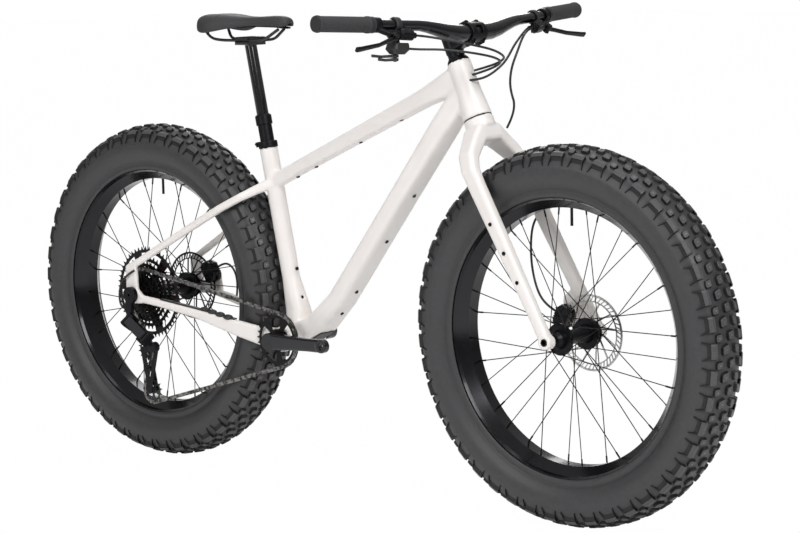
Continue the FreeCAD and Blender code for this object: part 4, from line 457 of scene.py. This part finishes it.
def arcThrough(a, b, c, steps):
    # points on the circle through three points, from a to c
    (ax, ay), (bx, by), (cx, cy) = a, b, c
    d = 2 * (ax * (by - cy) + bx * (cy - ay) + cx * (ay - by))
    sa, sb, sc = ax * ax + ay * ay, bx * bx + by * by, cx * cx + cy * cy
    ux = (sa * (by - cy) + sb * (cy - ay) + sc * (ay - by)) / d
    uy = (sa * (cx - bx) + sb * (ax - cx) + sc * (bx - ax)) / d
    r = math.hypot(ax - ux, ay - uy)
    start = math.atan2(ay - uy, ax - ux)
    mid = math.atan2(by - uy, bx - ux)
    end = math.atan2(cy - uy, cx - ux)
    if (mid - start) % math.tau > (end - start) % math.tau:
        turn = (end - start) % math.tau - math.tau
    else:
        turn = (end - start) % math.tau
    return [(ux + r * math.cos(start + turn * i / steps), uy + r * math.sin(start + turn * i / steps))
            for i in range(steps + 1)]


def carcassProfile():
    # (across, radius) round the section, with two fine moulding ribs on each wall
    shoulder = (tyre["shoulderHalf"], tyre["shoulder"])
    crownTop = tyre["radius"] - tyre["lug"]
    half = [(tyre["beadHalf"], tyre["bead"]), (tyre["beadHalf"], tyre["lip"] + 0.4)] + rimGuard
    wall = arcThrough((tyre["beadHalf"], tyre["lip"]), (tyre["half"], tyre["side"]), shoulder,
                      tyre["wallSteps"])
    for i, (y, r) in enumerate(wall[1:], 1):
        if r < rimGuard[-1][1] + guardGap:
            continue
        away = Vector((y - tyre["ribMiddle"], r - tyre["side"])).normalized()
        lift = tyre["rib"] if i in tyre["ribSteps"] else 0.0
        half.append((y + away.x * lift, r + away.y * lift))
    crown = arcThrough(shoulder, (0, crownTop), (-shoulder[0], shoulder[1]), tyre["crownSteps"])
    outer = half + crown[1:-1] + [(-y, r) for y, r in reversed(half)]
    inner = [(tyre["wall"] - tyre["beadHalf"], tyre["bead"]), (tyre["wall"] - tyre["half"], tyre["side"]),
             (0, crownTop - tyre["wall"]), (tyre["half"] - tyre["wall"], tyre["side"]),
             (tyre["beadHalf"] - tyre["wall"], tyre["bead"])]
    return outer + inner


def carcassMesh(x):
    profile = carcassProfile()
    bm = bmesh.new()
    rows = []
    for k in range(tyre["segments"]):
        a = math.tau * k / tyre["segments"]
        rows.append([bm.verts.new(((x + r * math.sin(a)) * mm, y * mm, (axleHeight + r * math.cos(a)) * mm))
                     for y, r in profile])
    for a, b in zip(rows, rows[1:] + rows[:1]):
        for i in range(len(profile)):
            j = (i + 1) % len(profile)
            bm.faces.new((a[i], a[j], b[j], b[i]))
    return closedMesh("carcass", bm)


def crownPoint(across, lift):
    # a place on the crown or a little above it, as (across, radius)
    rise = tyre["radius"] - tyre["lug"] - tyre["shoulder"]
    r = (tyre["shoulderHalf"] ** 2 + rise ** 2) / (2 * rise)
    centre = tyre["radius"] - tyre["lug"] - r
    lean = math.asin(across / r)
    return math.sin(lean) * (r + lift), centre + math.cos(lean) * (r + lift)


def aroundTyre(along, across, radius):
    # a place given by its distance along the tread from the top of the wheel
    angle = along / tyre["radius"]
    return radius * math.sin(angle) * mm, across * mm, radius * math.cos(angle) * mm


def treadBlock(bm, row, levels):
    # a tapered block with a slanted front edge
    across, stagger, halfLong, halfWide, high, slope = row
    side = 1 if across > 0 else -1
    rings = []
    for share, extra, grow in levels:
        ring = []
        for u, v in blockCorners:
            along = pitchLength * stagger + u * halfLong * grow + slope * v * side
            ring.append(aroundTyre(along, *crownPoint(across + v * halfWide * grow, high * share + extra)))
        rings.append(ring)
    skinRings(bm, rings)


def shoulderStep(bm, turn, side, inner, outer):
    # one step of a side block between two of its edges
    corners = ((-1, inner), (1, inner), (1, outer), (-1, outer))
    reach = sideRow["halfLong"]
    skinRings(bm, [[aroundTyre(turn + way * reach, side * edge[0], edge[1]) for way, edge in corners],
                   [aroundTyre(turn + way * edge[3], side * edge[0], edge[2]) for way, edge in corners]])


def shoulderRib(bm, turn, side, end):
    # a thin rib flaring from a side block's end down the side wall
    near, far = [turn + end * (sideRow["halfLong"] + reach) for reach in sideRow["ribReach"]]
    skinRings(bm, [[aroundTyre(near - a[0], side * a[1], a[2]), aroundTyre(near + a[0], side * a[1], a[2]),
                    aroundTyre(far + b[0], side * b[1], b[2]), aroundTyre(far - b[0], side * b[1], b[2])]
                   for a, b in sideRow["rib"]])


def shoulderTurn(side):
    return pitchLength * (sideRow["stagger"] + (0 if side > 0 else 0.5))


def treadPitch():
    # one pitch of the pattern at the top of the wheel, about the axle: the blocks' flanks
    bm = bmesh.new()
    for row in treadRows:
        treadBlock(bm, row, flankLevels)
    for side in (1, -1):
        for inner, outer in zip(sideRow["edges"], sideRow["edges"][1:]):
            shoulderStep(bm, shoulderTurn(side), side, inner, outer)
        for end in (-1, 1):
            shoulderRib(bm, shoulderTurn(side), side, end)
    return closedMesh("treadPitch", bm)


def facePitch():
    # the blocks' running faces, painted paler as lit tops, each a thin cap let into its block
    bm = bmesh.new()
    for row in treadRows:
        treadBlock(bm, row, faceLevels)
    sink, rise, back = sideRow["cap"]
    caps = [(y, top - sink, top + rise, half - back) for y, foot, top, half in sideRow["edges"]]
    for side in (1, -1):
        for inner, outer in zip(caps, caps[1:]):
            shoulderStep(bm, shoulderTurn(side), side, inner, outer)
    return closedMesh("facePitch", bm)


def studPitch():
    # the pale pockets in the blocks of the crown, as low plugs
    bm = bmesh.new()
    turns = [math.tau * k / stud["sides"] for k in range(stud["sides"])]
    for across, stagger, halfLong, halfWide, high, slope in treadRows:
        rings = []
        for lift, size in stud["levels"]:
            ring = []
            for turn in turns:
                y, radius = crownPoint(across + size * math.sin(turn), high + lift)
                along = pitchLength * stagger + size * math.cos(turn)
                ring.append(aroundTyre(along, y, min(radius, tyre["radius"])))
            rings.append(ring)
        skinRings(bm, rings)
    return closedMesh("studPitch", bm)


def ringRepeatTree():
    # repeats the piece's own mesh round an axle that lies across the bike
    tree = bpy.data.node_groups.new("ringRepeat", "GeometryNodeTree")
    face = tree.interface
    face.new_socket("Geometry", in_out="INPUT", socket_type="NodeSocketGeometry")
    count = face.new_socket("Count", in_out="INPUT", socket_type="NodeSocketInt")
    centre = face.new_socket("Centre", in_out="INPUT", socket_type="NodeSocketVector")
    finish = face.new_socket("Finish", in_out="INPUT", socket_type="NodeSocketMaterial")
    face.new_socket("Geometry", in_out="OUTPUT", socket_type="NodeSocketGeometry")
    given = addNode(tree, "NodeGroupInput")
    points = addNode(tree, "GeometryNodePoints", None, {"Count": given.outputs["Count"]})
    index = addNode(tree, "GeometryNodeInputIndex")
    step = addNode(tree, "ShaderNodeMath", {"operation": "DIVIDE", 0: math.tau}, {1: given.outputs["Count"]})
    angle = addNode(tree, "ShaderNodeMath", {"operation": "MULTIPLY"},
                    {0: index.outputs[0], 1: step.outputs[0]})
    turn = addNode(tree, "ShaderNodeCombineXYZ", None, {"Y": angle.outputs[0]})
    spread = addNode(tree, "GeometryNodeInstanceOnPoints", None,
                     {"Points": points.outputs[0], "Instance": given.outputs["Geometry"],
                      "Rotation": turn.outputs[0]})
    moved = addNode(tree, "GeometryNodeTransform", None,
                    {"Geometry": spread.outputs[0], "Translation": given.outputs["Centre"]})
    real = addNode(tree, "GeometryNodeRealizeInstances", None, {"Geometry": moved.outputs[0]})
    coloured = addNode(tree, "GeometryNodeSetMaterial", None,
                       {"Geometry": real.outputs[0], "Material": given.outputs["Finish"]})
    addNode(tree, "NodeGroupOutput", None, {"Geometry": coloured.outputs[0]})
    return tree, {"count": count.identifier, "centre": centre.identifier, "finish": finish.identifier}


ringTree, ringInputs = ringRepeatTree()


def ringRepeat(name, mesh, count, centre, finish):
    piece = newPiece(name, mesh)
    repeat = piece.modifiers.new("repeat", "NODES")
    repeat.node_group = ringTree
    repeat[ringInputs["count"]] = count
    repeat[ringInputs["centre"]] = [c * mm for c in centre]
    repeat[ringInputs["finish"]] = made[finish]
    return settle(piece, plainMesh(piece), finish, smooth=False)


for wheel, x in axles.items():
    hub = (x, 0, axleHeight)
    enter(plainPiece(wheel + "TyreCarcass", carcassMesh(x), "tyreRubber"), wheel + "_wheel", "black_rubber",
          wheel + "_tyre")
    # the blocks' flanks carry painted shade and their running faces painted light
    for label, draw, finish in (("Tread", treadPitch, "treadFlankShaded"), ("TreadFaces", facePitch, "treadFaceLit"),
                                ("StudPockets", studPitch, "studPocket")):
        ring = ringRepeat(wheel + "Tyre" + label, draw(), tyre["pitches"], hub, finish)
        enter(ring, wheel + "_wheel", "black_rubber")
print("tyres done")


# Brake rotors: a slotted band on slanted arms, one twelfth of it repeated round the axle
rotors = {
    "frontRotor": {"node": "front_rotor", "wheel": "front", "across": 60.0, "finish": "stainlessSteel",
                   "slot": "bright_steel"},
    "rearRotor": {"node": "rear_rotor", "wheel": "rear", "across": 83.0, "finish": "oxideSteel",
                  "slot": "black_steel"},
}
rotor = {"parts": 12, "half": 0.9, "rings": [(75.6, 80.0), (64.0, 66.4), (22.2, 28.5)], "steps": 6,
         # struts between two radii, with their slant in degrees
         "bars": 4, "barSpan": (65.5, 76.5), "barTurn": 5.0, "barWidth": 2.2,
         "armSpan": (27.5, 65.0), "armTurn": 20.0, "armWidth": 3.4}


def rotorPoint(turn, radius):
    return Vector((math.sin(turn) * radius, math.cos(turn) * radius))


def rotorPlate(bm, corners, across):
    # a flat plate as thick as the rotor
    faces = (across - rotor["half"], across + rotor["half"])
    skinRings(bm, [[(x * mm, y * mm, z * mm) for x, z in corners] for y in faces])


def rotorStrut(bm, turn, kind, across):
    # a straight slanted strut between two radii of the rotor
    low, high = rotor[kind + "Span"]
    a = rotorPoint(turn, low)
    b = rotorPoint(turn + math.radians(rotor[kind + "Turn"]), high)
    off = Vector((-(b - a).y, (b - a).x)).normalized() * rotor[kind + "Width"] / 2
    rotorPlate(bm, [a - off, a + off, b + off, b - off], across)


def rotorPart(across):
    bm = bmesh.new()
    span = math.tau / rotor["parts"]
    turns = [span * k / rotor["steps"] for k in range(rotor["steps"] + 1)]
    for low, high in rotor["rings"]:
        for a, b in zip(turns, turns[1:]):
            corners = [rotorPoint(turn, r) for turn, r in ((a, low), (b, low), (b, high), (a, high))]
            rotorPlate(bm, corners, across)
    for k in range(rotor["bars"]):
        rotorStrut(bm, span * k / rotor["bars"], "bar", across)
    rotorStrut(bm, 0.0, "arm", across)
    return closedMesh("rotorPart", bm)


for rotorName, look in rotors.items():
    hub = (axles[look["wheel"]], 0, axleHeight)
    disc = ringRepeat(rotorName, rotorPart(look["across"]), rotor["parts"], hub, look["finish"])
    enter(disc, look["wheel"] + "_wheel", look["slot"], look["node"])
print("rotors done")


# Calipers: two finned halves bolted over the disc's edge, in (out from the axle, across, along the rim)
calipers = {
    "frontCaliper": {"node": "front_caliper", "body": "fork", "wheel": "front", "across": 60.0,
                     "turn": 159.0},
    "rearCaliper": {"node": "rear_caliper", "body": "frame", "wheel": "rear", "across": 83.0, "turn": 30.0},
}
caliperOutline = [(59, -17), (66, -25), (83, -25), (92, -15), (92, 15), (83, 25), (66, 25), (59, 17)]
caliper = {
    "slot": 2.6, "pocket": 5.7, "near": -12.0, "far": 15.0, "voxel": 0.8, "rounds": 2,
    # boxes as (out from, out to, along from, along to): cheeks beside the pads and a bridge over the disc
    "cheeks": [(64, 86, -25, -15.4), (64, 86, 15.4, 25)], "bridge": (85, 92, -17, 17), "bridgeHalf": 7,
    # round covers and bolt heads on both faces: out, along, radius, height
    "covers": [(74, 0, 12.5, 2.0), (74, 0, 6.5, 3.2), (79, -19, 4.4, 2.4), (79, 19, 4.4, 2.4)],
    "fins": (-12, -6, 0, 6, 12), "finHalf": 1.3, "finOut": (90, 96), "finAcross": (-9.0, 11.0),
}


def prism(bm, outline, low, high, place):
    # a closed plate: an outline in the disc's plane between two places across it
    skinRings(bm, [[place(r, y, t) for r, t in outline] for y in (low, high)])


def boxOutline(low, high, left, right):
    return [(low, left), (high, left), (high, right), (low, right)]


def roundOutline(r, t, radius, count=20):
    return [(r + radius * math.cos(math.tau * k / count), t + radius * math.sin(math.tau * k / count))
            for k in range(count)]


def caliperPiece(name, look):
    turn = math.radians(look["turn"])
    out = Vector((math.cos(turn), 0, math.sin(turn)))
    along = out.cross(Vector((0, 1, 0)))
    centre = Vector((axles[look["wheel"]], look["across"], axleHeight))

    def place(r, y, t):
        return (centre + out * r + Vector((0, y, 0)) + along * t) * mm

    bm = bmesh.new()
    for sign, end in ((-1, caliper["near"]), (1, caliper["far"])):
        prism(bm, caliperOutline, sign * caliper["pocket"], end, place)
        for cheek in caliper["cheeks"]:
            prism(bm, boxOutline(*cheek), sign * caliper["slot"], sign * (caliper["pocket"] + 1), place)
        for r, t, radius, high in caliper["covers"]:
            prism(bm, roundOutline(r, t, radius), end, end + sign * high, place)
    prism(bm, boxOutline(*caliper["bridge"]), -caliper["bridgeHalf"], caliper["bridgeHalf"], place)
    for t in caliper["fins"]:
        fin = boxOutline(*caliper["finOut"], t - caliper["finHalf"], t + caliper["finHalf"])
        prism(bm, fin, *caliper["finAcross"], place)
    piece = newPiece(name, closedMesh(name, bm))
    settle(piece, softened(piece, caliper["voxel"], caliper["rounds"]), "anodisedAluminium")
    enter(piece, look["body"], "black_alloy", look["node"])


for caliperName, look in calipers.items():
    caliperPiece(caliperName, look)
print("calipers done")


# Brake reservoirs: a fat barrel on each lever body with a bolted lid, given for the right side
reservoir = {"outer": (351.8, -228.0, 1011.5), "inner": (358.8, -196.8, 1008.7),
             "up": (0.6068, -0.065, 0.7922), "radius": 11.0, "lid": (24, 17, 5.0), "lift": 9.5,
             "nut": 6.0, "nutLong": 9.0, "screw": 2.6, "screwHigh": 1.2, "screwShare": 0.33,
             "voxel": 0.8, "rounds": 3}


def rodPiece(bm, a, b, radius, count=24):
    # a round bar between two places
    way = (b - a).normalized()
    u = way.orthogonal().normalized()
    w = way.cross(u)
    turns = [math.tau * k / count for k in range(count)]
    spokes = [(u * math.cos(t) + w * math.sin(t)) * radius for t in turns]
    skinRings(bm, [[(end + spoke) * mm for spoke in spokes] for end in (a, b)])


def reservoirMesh():
    bm = bmesh.new()
    long, wide, high = reservoir["lid"]
    for flip in (1, -1):
        places = [reservoir[key] for key in ("outer", "inner", "up")]
        a, b, up = [Vector((x, y * flip, z)) for x, y, z in places]
        way = (b - a).normalized()
        across = way.cross(up).normalized()
        rodPiece(bm, a, b, reservoir["radius"])
        rodPiece(bm, b, b + way * reservoir["nutLong"], reservoir["nut"])
        middle = (a + b) / 2 + up * reservoir["lift"]
        corners = [way * x + across * y for x, y in boxOutline(-long / 2, long / 2, -wide / 2, wide / 2)]
        skinRings(bm, [[(middle + c + up * z * high / 2) * mm for c in corners] for z in (-1, 1)])
        for share in (-reservoir["screwShare"], reservoir["screwShare"]):
            screw = middle + way * long * share + up * high / 2
            rodPiece(bm, screw - up, screw + up * reservoir["screwHigh"], reservoir["screw"])
    return closedMesh("reservoirs", bm)


tanks = newPiece("brakeReservoirs", reservoirMesh())
settle(tanks, softened(tanks, reservoir["voxel"], reservoir["rounds"]), "anodisedAluminium")
enter(tanks, "fork", "black_alloy")
print("reservoirs done")


# Chain stay guard: the soft waves on its pad that hush the chain
guard = {"rear": (-408, -78, 374.0), "front": (-306, -78, 359.5), "waves": 4, "half": (13.0, 8.5, 6.5)}


def guardWaves():
    bm = bmesh.new()
    a, b = Vector(guard["rear"]), Vector(guard["front"])
    for k in range(guard["waves"]):
        middle = a.lerp(b, (k + 0.5) / guard["waves"])
        ball = bmesh.ops.create_uvsphere(bm, u_segments=28, v_segments=16, radius=1.0)
        for v in ball["verts"]:
            v.co = (middle + Vector([v.co[i] * guard["half"][i] for i in range(3)])) * mm
    return closedMesh("guardWaves", bm)


enter(plainPiece("stayGuardWaves", guardWaves(), "mouldedNylon"), "frame", "black_rubber")
print("guard done")


# Grips: ribbed rubber sleeves on the bar's ends
grip = {
    "ribs": 30, "ribSteps": 4, "ribDepth": 0.9, "core": 15.2, "sides": 40, "plain": 15.0,
    # lips as (distance from their end, radius); "plain" is the length that they take from the ribs
    "outerLip": [(0.0, 15.6), (0.8, 17.2), (5.0, 17.2), (6.2, 15.2)],
    "innerLip": [(8.2, 15.2), (7.4, 17.2), (0.8, 17.2), (0.0, 15.6)],
}


def barAxis(side):
    # the line through the middle of a CAD grip, from its outer end inwards
    corners = nodes["grips"].data.vertices
    flat = np.zeros(len(corners) * 3, np.float32)
    corners.foreach_get("co", flat)
    points = flat.reshape(-1, 3).astype(float)
    points = points[points[:, 1] * side > 0]
    middle = points.mean(0)
    axis = np.linalg.eigh(np.cov((points - middle).T))[1][:, -1]
    axis = axis if axis[1] * side < 0 else -axis
    along = (points - middle) @ axis
    ends = [points[abs(along - end) < 0.4 * mm].mean(0) for end in (along.min(), along.max())]
    return Vector(ends[0]), Vector(ends[1])


def ribbedGrip(side):
    start, end = barAxis(side)
    way = (end - start).normalized()
    length = (end - start).length / mm
    across = way.orthogonal().normalized()
    up = way.cross(across)
    steps = grip["ribs"] * grip["ribSteps"]
    profile = list(grip["outerLip"])
    for k in range(1, steps):
        t = grip["outerLip"][-1][0] + (length - grip["plain"]) * k / steps
        wave = 0.5 - 0.5 * math.cos(math.tau * k / grip["ribSteps"])
        profile.append((t, grip["core"] + grip["ribDepth"] * wave))
    profile += [(length - t, r) for t, r in grip["innerLip"]]
    turns = [math.tau * k / grip["sides"] for k in range(grip["sides"])]
    spokes = [across * math.cos(a) + up * math.sin(a) for a in turns]
    return ringMesh("grip", [[start + way * t * mm + spoke * r * mm for spoke in spokes] for t, r in profile])


for side, label, node in ((1, "left", "grips"), (-1, "right", None)):
    enter(plainPiece(label + "Grip", ribbedGrip(side), "gripRubber"), "fork", "grip_rubber", node)
print("grips done")


# Brake hoses and control cables, each on its own route in metres
hoseLook = {"diameter": 0.005, "rings": 3, "steps": 12}
hoses = {
    "rearBrakeHose": {
        "route": [(0.3592, -0.1943, 1.0086), (0.3636, -0.1734, 1.007), (0.392, -0.132, 0.998),
                  (0.422, -0.092, 0.987), (0.439, -0.042, 0.975), (0.434, 0.0, 0.961),
                  (0.419, 0.021, 0.951), (0.388, 0.021, 0.938), (0.3413, 0.012, 0.9262)],
        "bend": ((0.434, 0.0, 0.961), (0.352, 0.014, 0.929)), "length": 0.328, "node": "frame_cables"},
    "shiftCable": {
        "route": [(0.3433, -0.1985, 0.9824), (0.3498, -0.1785, 0.9794), (0.385, -0.132, 0.978),
                  (0.417, -0.092, 0.971), (0.434, -0.042, 0.961), (0.429, -0.004, 0.951),
                  (0.415, 0.013, 0.942), (0.386, 0.008, 0.929), (0.3484, 0.0, 0.9183)],
        "bend": ((0.429, -0.004, 0.951), (0.358, 0.002, 0.921)), "length": 0.316},
    "dropperCable": {
        "route": [(0.3423, 0.1971, 1.0084), (0.3498, 0.1772, 1.0044), (0.374, 0.124, 0.988),
                  (0.388, 0.09, 0.974), (0.4, 0.058, 0.955), (0.402, 0.035, 0.938),
                  (0.388, 0.01, 0.918), (0.372, -0.006, 0.91), (0.3499, -0.012, 0.9081)],
        "bend": ((0.402, 0.035, 0.938), (0.36, -0.01, 0.909)), "length": 0.269},
    "frontBrakeHose": {
        "route": [(0.3592, 0.1943, 1.0086), (0.3636, 0.1734, 1.007), (0.39, 0.126, 1.0),
                  (0.408, 0.092, 0.988), (0.418, 0.066, 0.966), (0.412, 0.051, 0.93),
                  (0.41, 0.048, 0.89), (0.424, 0.053, 0.846), (0.395, 0.056, 0.8067)],
        "body": "fork", "length": 0.319, "node": "front_brake_hose"},
    "frontCaliperHose": {
        "route": [(0.4569, 0.08, 0.6242), (0.4391, 0.08, 0.61), (0.438, 0.074, 0.533),
                  (0.46, 0.066, 0.469), (0.488, 0.064, 0.4384), (0.516, 0.064, 0.4276)],
        "body": "fork", "length": 0.234},
    "rearCaliperHose": {
        "route": [(-0.46, 0.0886, 0.379), (-0.455, 0.089, 0.411), (-0.468, 0.0885, 0.445),
                  (-0.496, 0.087, 0.4565), (-0.5224, 0.087, 0.4413)],
        "body": "frame", "length": 0.124, "node": "rear_lines"},
    "derailleurHousing": {
        "route": [(-0.594, -0.1114, 0.451), (-0.614, -0.114, 0.441), (-0.635, -0.1165, 0.421),
                  (-0.644, -0.1165, 0.391), (-0.639, -0.116, 0.361), (-0.6215, -0.1155, 0.3591)],
        "body": "frame", "length": 0.125},
}


def routeCurve(name, route, bevel):
    line = bpy.data.curves.new(name, "CURVE")
    line.dimensions = "3D"
    line.resolution_u = hoseLook["steps"]
    line.bevel_depth = bevel
    line.bevel_resolution = hoseLook["rings"]
    line.use_fill_caps = True
    spline = line.splines.new("NURBS")
    spline.points.add(len(route) - 1)
    for point, place in zip(spline.points, route):
        point.co = (*place, 1.0)
    spline.order_u = 3
    spline.use_endpoint_u = True
    return newPiece(name, line)


def routeMesh(name, route, bevel):
    curve = routeCurve(name, route, bevel)
    mesh = plainMesh(curve)
    bpy.data.objects.remove(curve)
    return mesh


def hosePiece(name, look):
    path = [v.co.copy() for v in routeMesh(name + "Guide", look["route"], 0.0).vertices]
    piece = plainPiece(name, routeMesh(name + "Tube", look["route"], hoseLook["diameter"] / 2), "hoseSheath")
    if "bend" in look:
        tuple(look["bend"][0])
        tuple(look["bend"][1])
        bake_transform(piece)
    else:
        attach(piece, look["body"])
    if "node" in look:
        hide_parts(look["node"])
    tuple(look["route"][0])
    run = sum((b - a).length for a, b in zip(path, path[1:]))
    print(name, "runs", round(run, 4))


for hoseName, hoseRoute in hoses.items():
    hosePiece(hoseName, hoseRoute)


# Saddle: a padded cover, wide and raised behind, narrow and dropped at the nose
saddle = {"rear": -449, "nose": -173, "foot": 1026.2, "around": 14, "wall": 5.0, "wallShare": 0.6,
          # a shallow channel along the middle, and how square the section is at its sides and on its top
          "channel": 2.6, "channelHalf": 7.0, "channelEnd": 0.8, "sideCurve": 0.8, "topCurve": 0.55,
          "hemRoll": 0.8, "padding": 9.0, "levels": 2, "fill": 0.85}
saddleStations = [
    # share of the length, half width, crown above the foot, hem of the side above the foot
    (0.0, 15, 5.0, -4.0), (0.05, 37, 13.0, -13.0), (0.12, 57, 17.0, -22.0), (0.22, 71.0, 18.0, -27.0),
    (0.32, 66, 17.2, -23.0), (0.42, 51, 14.2, -17.0), (0.53, 35, 11.2, -12.5), (0.65, 27, 10.8, -10.5),
    (0.78, 23.5, 12.4, -11.0), (0.88, 21.5, 13.0, -12.0), (0.95, 20.0, 11.5, -12.5), (1.0, 15.0, 5.0, -11.0),
]


def saddleRing(share, half, crown, hem):
    # over the top from hem to hem, then back along the hollow below
    x = saddle["rear"] + (saddle["nose"] - saddle["rear"]) * share
    groove = saddle["channel"] * math.sin(math.pi * min(1.0, share / saddle["channelEnd"]))
    steps = range(saddle["around"] + 1)
    section = []
    for i in steps:
        a = math.pi * i / saddle["around"]
        y = half * math.copysign(abs(math.cos(a)) ** saddle["sideCurve"], math.cos(a))
        dip = groove * math.exp(-(y / saddle["channelHalf"]) ** 2)
        section.append((y, hem + (crown - hem) * math.sin(a) ** saddle["topCurve"] - dip))
    inner = max(half - saddle["wall"], half * saddle["wallShare"])
    for i in steps:
        y = -inner + 2 * inner * i / saddle["around"]
        roof = min(-1.0, crown - saddle["padding"])
        section.append((y, hem + saddle["hemRoll"] + (roof - hem) * (1 - (y / inner) ** 4)))
    return [(x * mm, y * mm, (saddle["foot"] + z) * mm) for y, z in section]


cover = newPiece("saddlePad", ringMesh("saddlePad", [saddleRing(*station) for station in saddleStations]))
soften = cover.modifiers.new("soften", "SUBSURF")
soften.levels = soften.render_levels = saddle["levels"]
settle(cover, plainMesh(cover), "saddleLeather")
enter(cover, "saddle", "saddle_skin", "saddle_cover")

# the saddle's rails and clamp, under a shell plate drawn in so that the cover hangs over its rim
saddleBase = {"plateFoot": 1014.5, "middle": -318, "along": 0.92, "across": 0.8, "sharp": 35}


def drawIn(bm):
    middle = saddleBase["middle"] * mm
    for v in bm.verts:
        if v.co.z > saddleBase["plateFoot"] * mm:
            v.co.x = middle + (v.co.x - middle) * saddleBase["along"]
            v.co.y *= saddleBase["across"]


base = plainPiece("saddleRails", reworkedCopy("saddle_base", drawIn), "saddleShell")
base.data.set_sharp_from_angle(angle=math.radians(saddleBase["sharp"]))
enter(base, "saddle", "black_plastic", "saddle_base")
print("saddle done")


# Finishes on the CAD pieces that stay
finishOf = {
    "polishedRim": ["front_rim", "rear_rim"],
    "oxideSteel": ["front_spokes", "rear_spokes", "frame_bolts", "fork_bolts", "front_axle", "rear_axle",
                   "chainring", "crank_spindle"],
    "anodisedAluminium": ["front_hub", "rear_hub", "headset_bearings", "bottom_bracket_cups",
                          "dropper_outer_tube", "headset_spacers", "derailleur_cage"],
    "forgedCrank": ["handlebar"],
    "mouldedNylon": ["frame_guards", "guide_pulley", "tension_pulley", "bar_end_plugs"],
    "padCompound": ["front_pad_inner", "front_pad_outer", "rear_pad_inner", "rear_pad_outer"],
    "glossStanchion": ["dropper_stanchion"],
    "cogSteel": ["cassette"],
    "chainSteel": ["chain"],
}
for finishName, members in finishOf.items():
    for member in members:
        slots = nodes[member].data.materials
        slots.clear()
        slots.append(made[finishName])
bare = set(nodes) - {n for group in finishOf.values() for n in group}
print("left to scene pieces:", sorted(bare))


# Stage: pale floor, white room, soft lamps
stageLook = {"floor": "#f6f6f6", "floorRough": 0.9, "floorSize": 30.0, "whiteShare": 0.99,
             # the room's light from low at the sides to high overhead, by the rise of the view
             "light": (0.16, 0.45), "rise": (0.05, 0.8)}


def paleFloor():
    mesh = bpy.data.meshes.new("floor")
    size = stageLook["floorSize"]
    corners = [(-size, -size, 0), (size, -size, 0), (size, size, 0), (-size, size, 0)]
    mesh.from_pydata(corners, [], [(0, 1, 2, 3)])
    floor = newPiece("floor", mesh)
    mat, tree, shader, _ = newMaterial("floorPaint")
    shader.inputs["Base Color"].default_value = hexColour(stageLook["floor"])
    shader.inputs["Roughness"].default_value = stageLook["floorRough"]
    rays = addNode(tree, "ShaderNodeLightPath")
    share = addNode(tree, "ShaderNodeMath", {"operation": "MULTIPLY", 1: stageLook["whiteShare"]},
                    {0: rays.outputs["Is Camera Ray"]})
    white = addNode(tree, "ShaderNodeEmission", {"Color": (1, 1, 1, 1), "Strength": 1.0})
    mixed = addNode(tree, "ShaderNodeMixShader", None,
                    {0: share.outputs[0], 1: shader.outputs[0], 2: white.outputs[0]})
    tree.links.new(mixed.outputs[0], tree.nodes["Material Output"].inputs["Surface"])
    mesh.materials.append(mat)


def whiteRoom():
    # white to the eye; as light and in reflections the room is dim at the sides and brighter overhead
    world = bpy.data.worlds.new("room")
    scene.world = world
    world.use_nodes = True
    tree = world.node_tree
    rays = addNode(tree, "ShaderNodeLightPath")
    way = addNode(tree, "ShaderNodeTexCoord")
    axes = addNode(tree, "ShaderNodeSeparateXYZ", None, {"Vector": way.outputs["Generated"]})
    light = stretch(tree, axes.outputs["Z"], stageLook["light"], stageLook["rise"])
    level = addNode(tree, "ShaderNodeMix", {"data_type": "FLOAT", 3: 1.0},
                    {0: rays.outputs["Is Camera Ray"], 2: light})
    tree.links.new(level.outputs[0], tree.nodes["Background"].inputs["Strength"])
    tree.nodes["Background"].inputs["Color"].default_value = (1, 1, 1, 1)


lamps = {
    # place, aim, size and power in watts
    "keyLamp": ((3.6, -1.6, 3.4), (0, 0, 0.5), 2.4, 120),
    "sideLamp": ((-0.6, -4.2, 2.6), (-0.2, 0, 0.5), 2.8, 62),
    "topLamp": ((0.0, 0.2, 4.2), (0, 0, 0.5), 2.6, 36),
    "backLamp": ((-2.6, 3.2, 2.6), (0, 0, 0.6), 2.2, 40),
}


def softLamps():
    for name, (place, aim, size, power) in lamps.items():
        data = bpy.data.lights.new(name, "AREA")
        data.shape = "DISK"
        data.size = size
        data.energy = power
        lamp = bpy.data.objects.new(name, data)
        scene.collection.objects.link(lamp)
        lamp.location = place
        lamp.rotation_euler = (Vector(aim) - Vector(place)).to_track_quat("-Z", "Y").to_euler()


photoView = {"place": (3.5374, -3.7904, 1.1858), "right": (0.7461, 0.6655, -0.0207),
             "up": (-0.0733, 0.113, 0.9909), "lens": 107.24, "sensor": 36.0, "far": 200.0}


def photoCamera():
    data = bpy.data.cameras.new("camera")
    data.lens = photoView["lens"]
    data.sensor_width = photoView["sensor"]
    data.sensor_fit = "HORIZONTAL"
    data.clip_end = photoView["far"]
    camera = bpy.data.objects.new("camera", data)
    scene.collection.objects.link(camera)
    right = Vector(photoView["right"]).normalized()
    up = Vector(photoView["up"])
    up = (up - right * up.dot(right)).normalized()
    back = right.cross(up)
    turn = Matrix((right, up, back)).transposed().to_4x4()
    camera.matrix_world = Matrix.Translation(photoView["place"]) @ turn
    scene.camera = camera


paleFloor()
whiteRoom()
softLamps()
photoCamera()
scene.view_settings.view_transform = "Standard"
print("stage done")
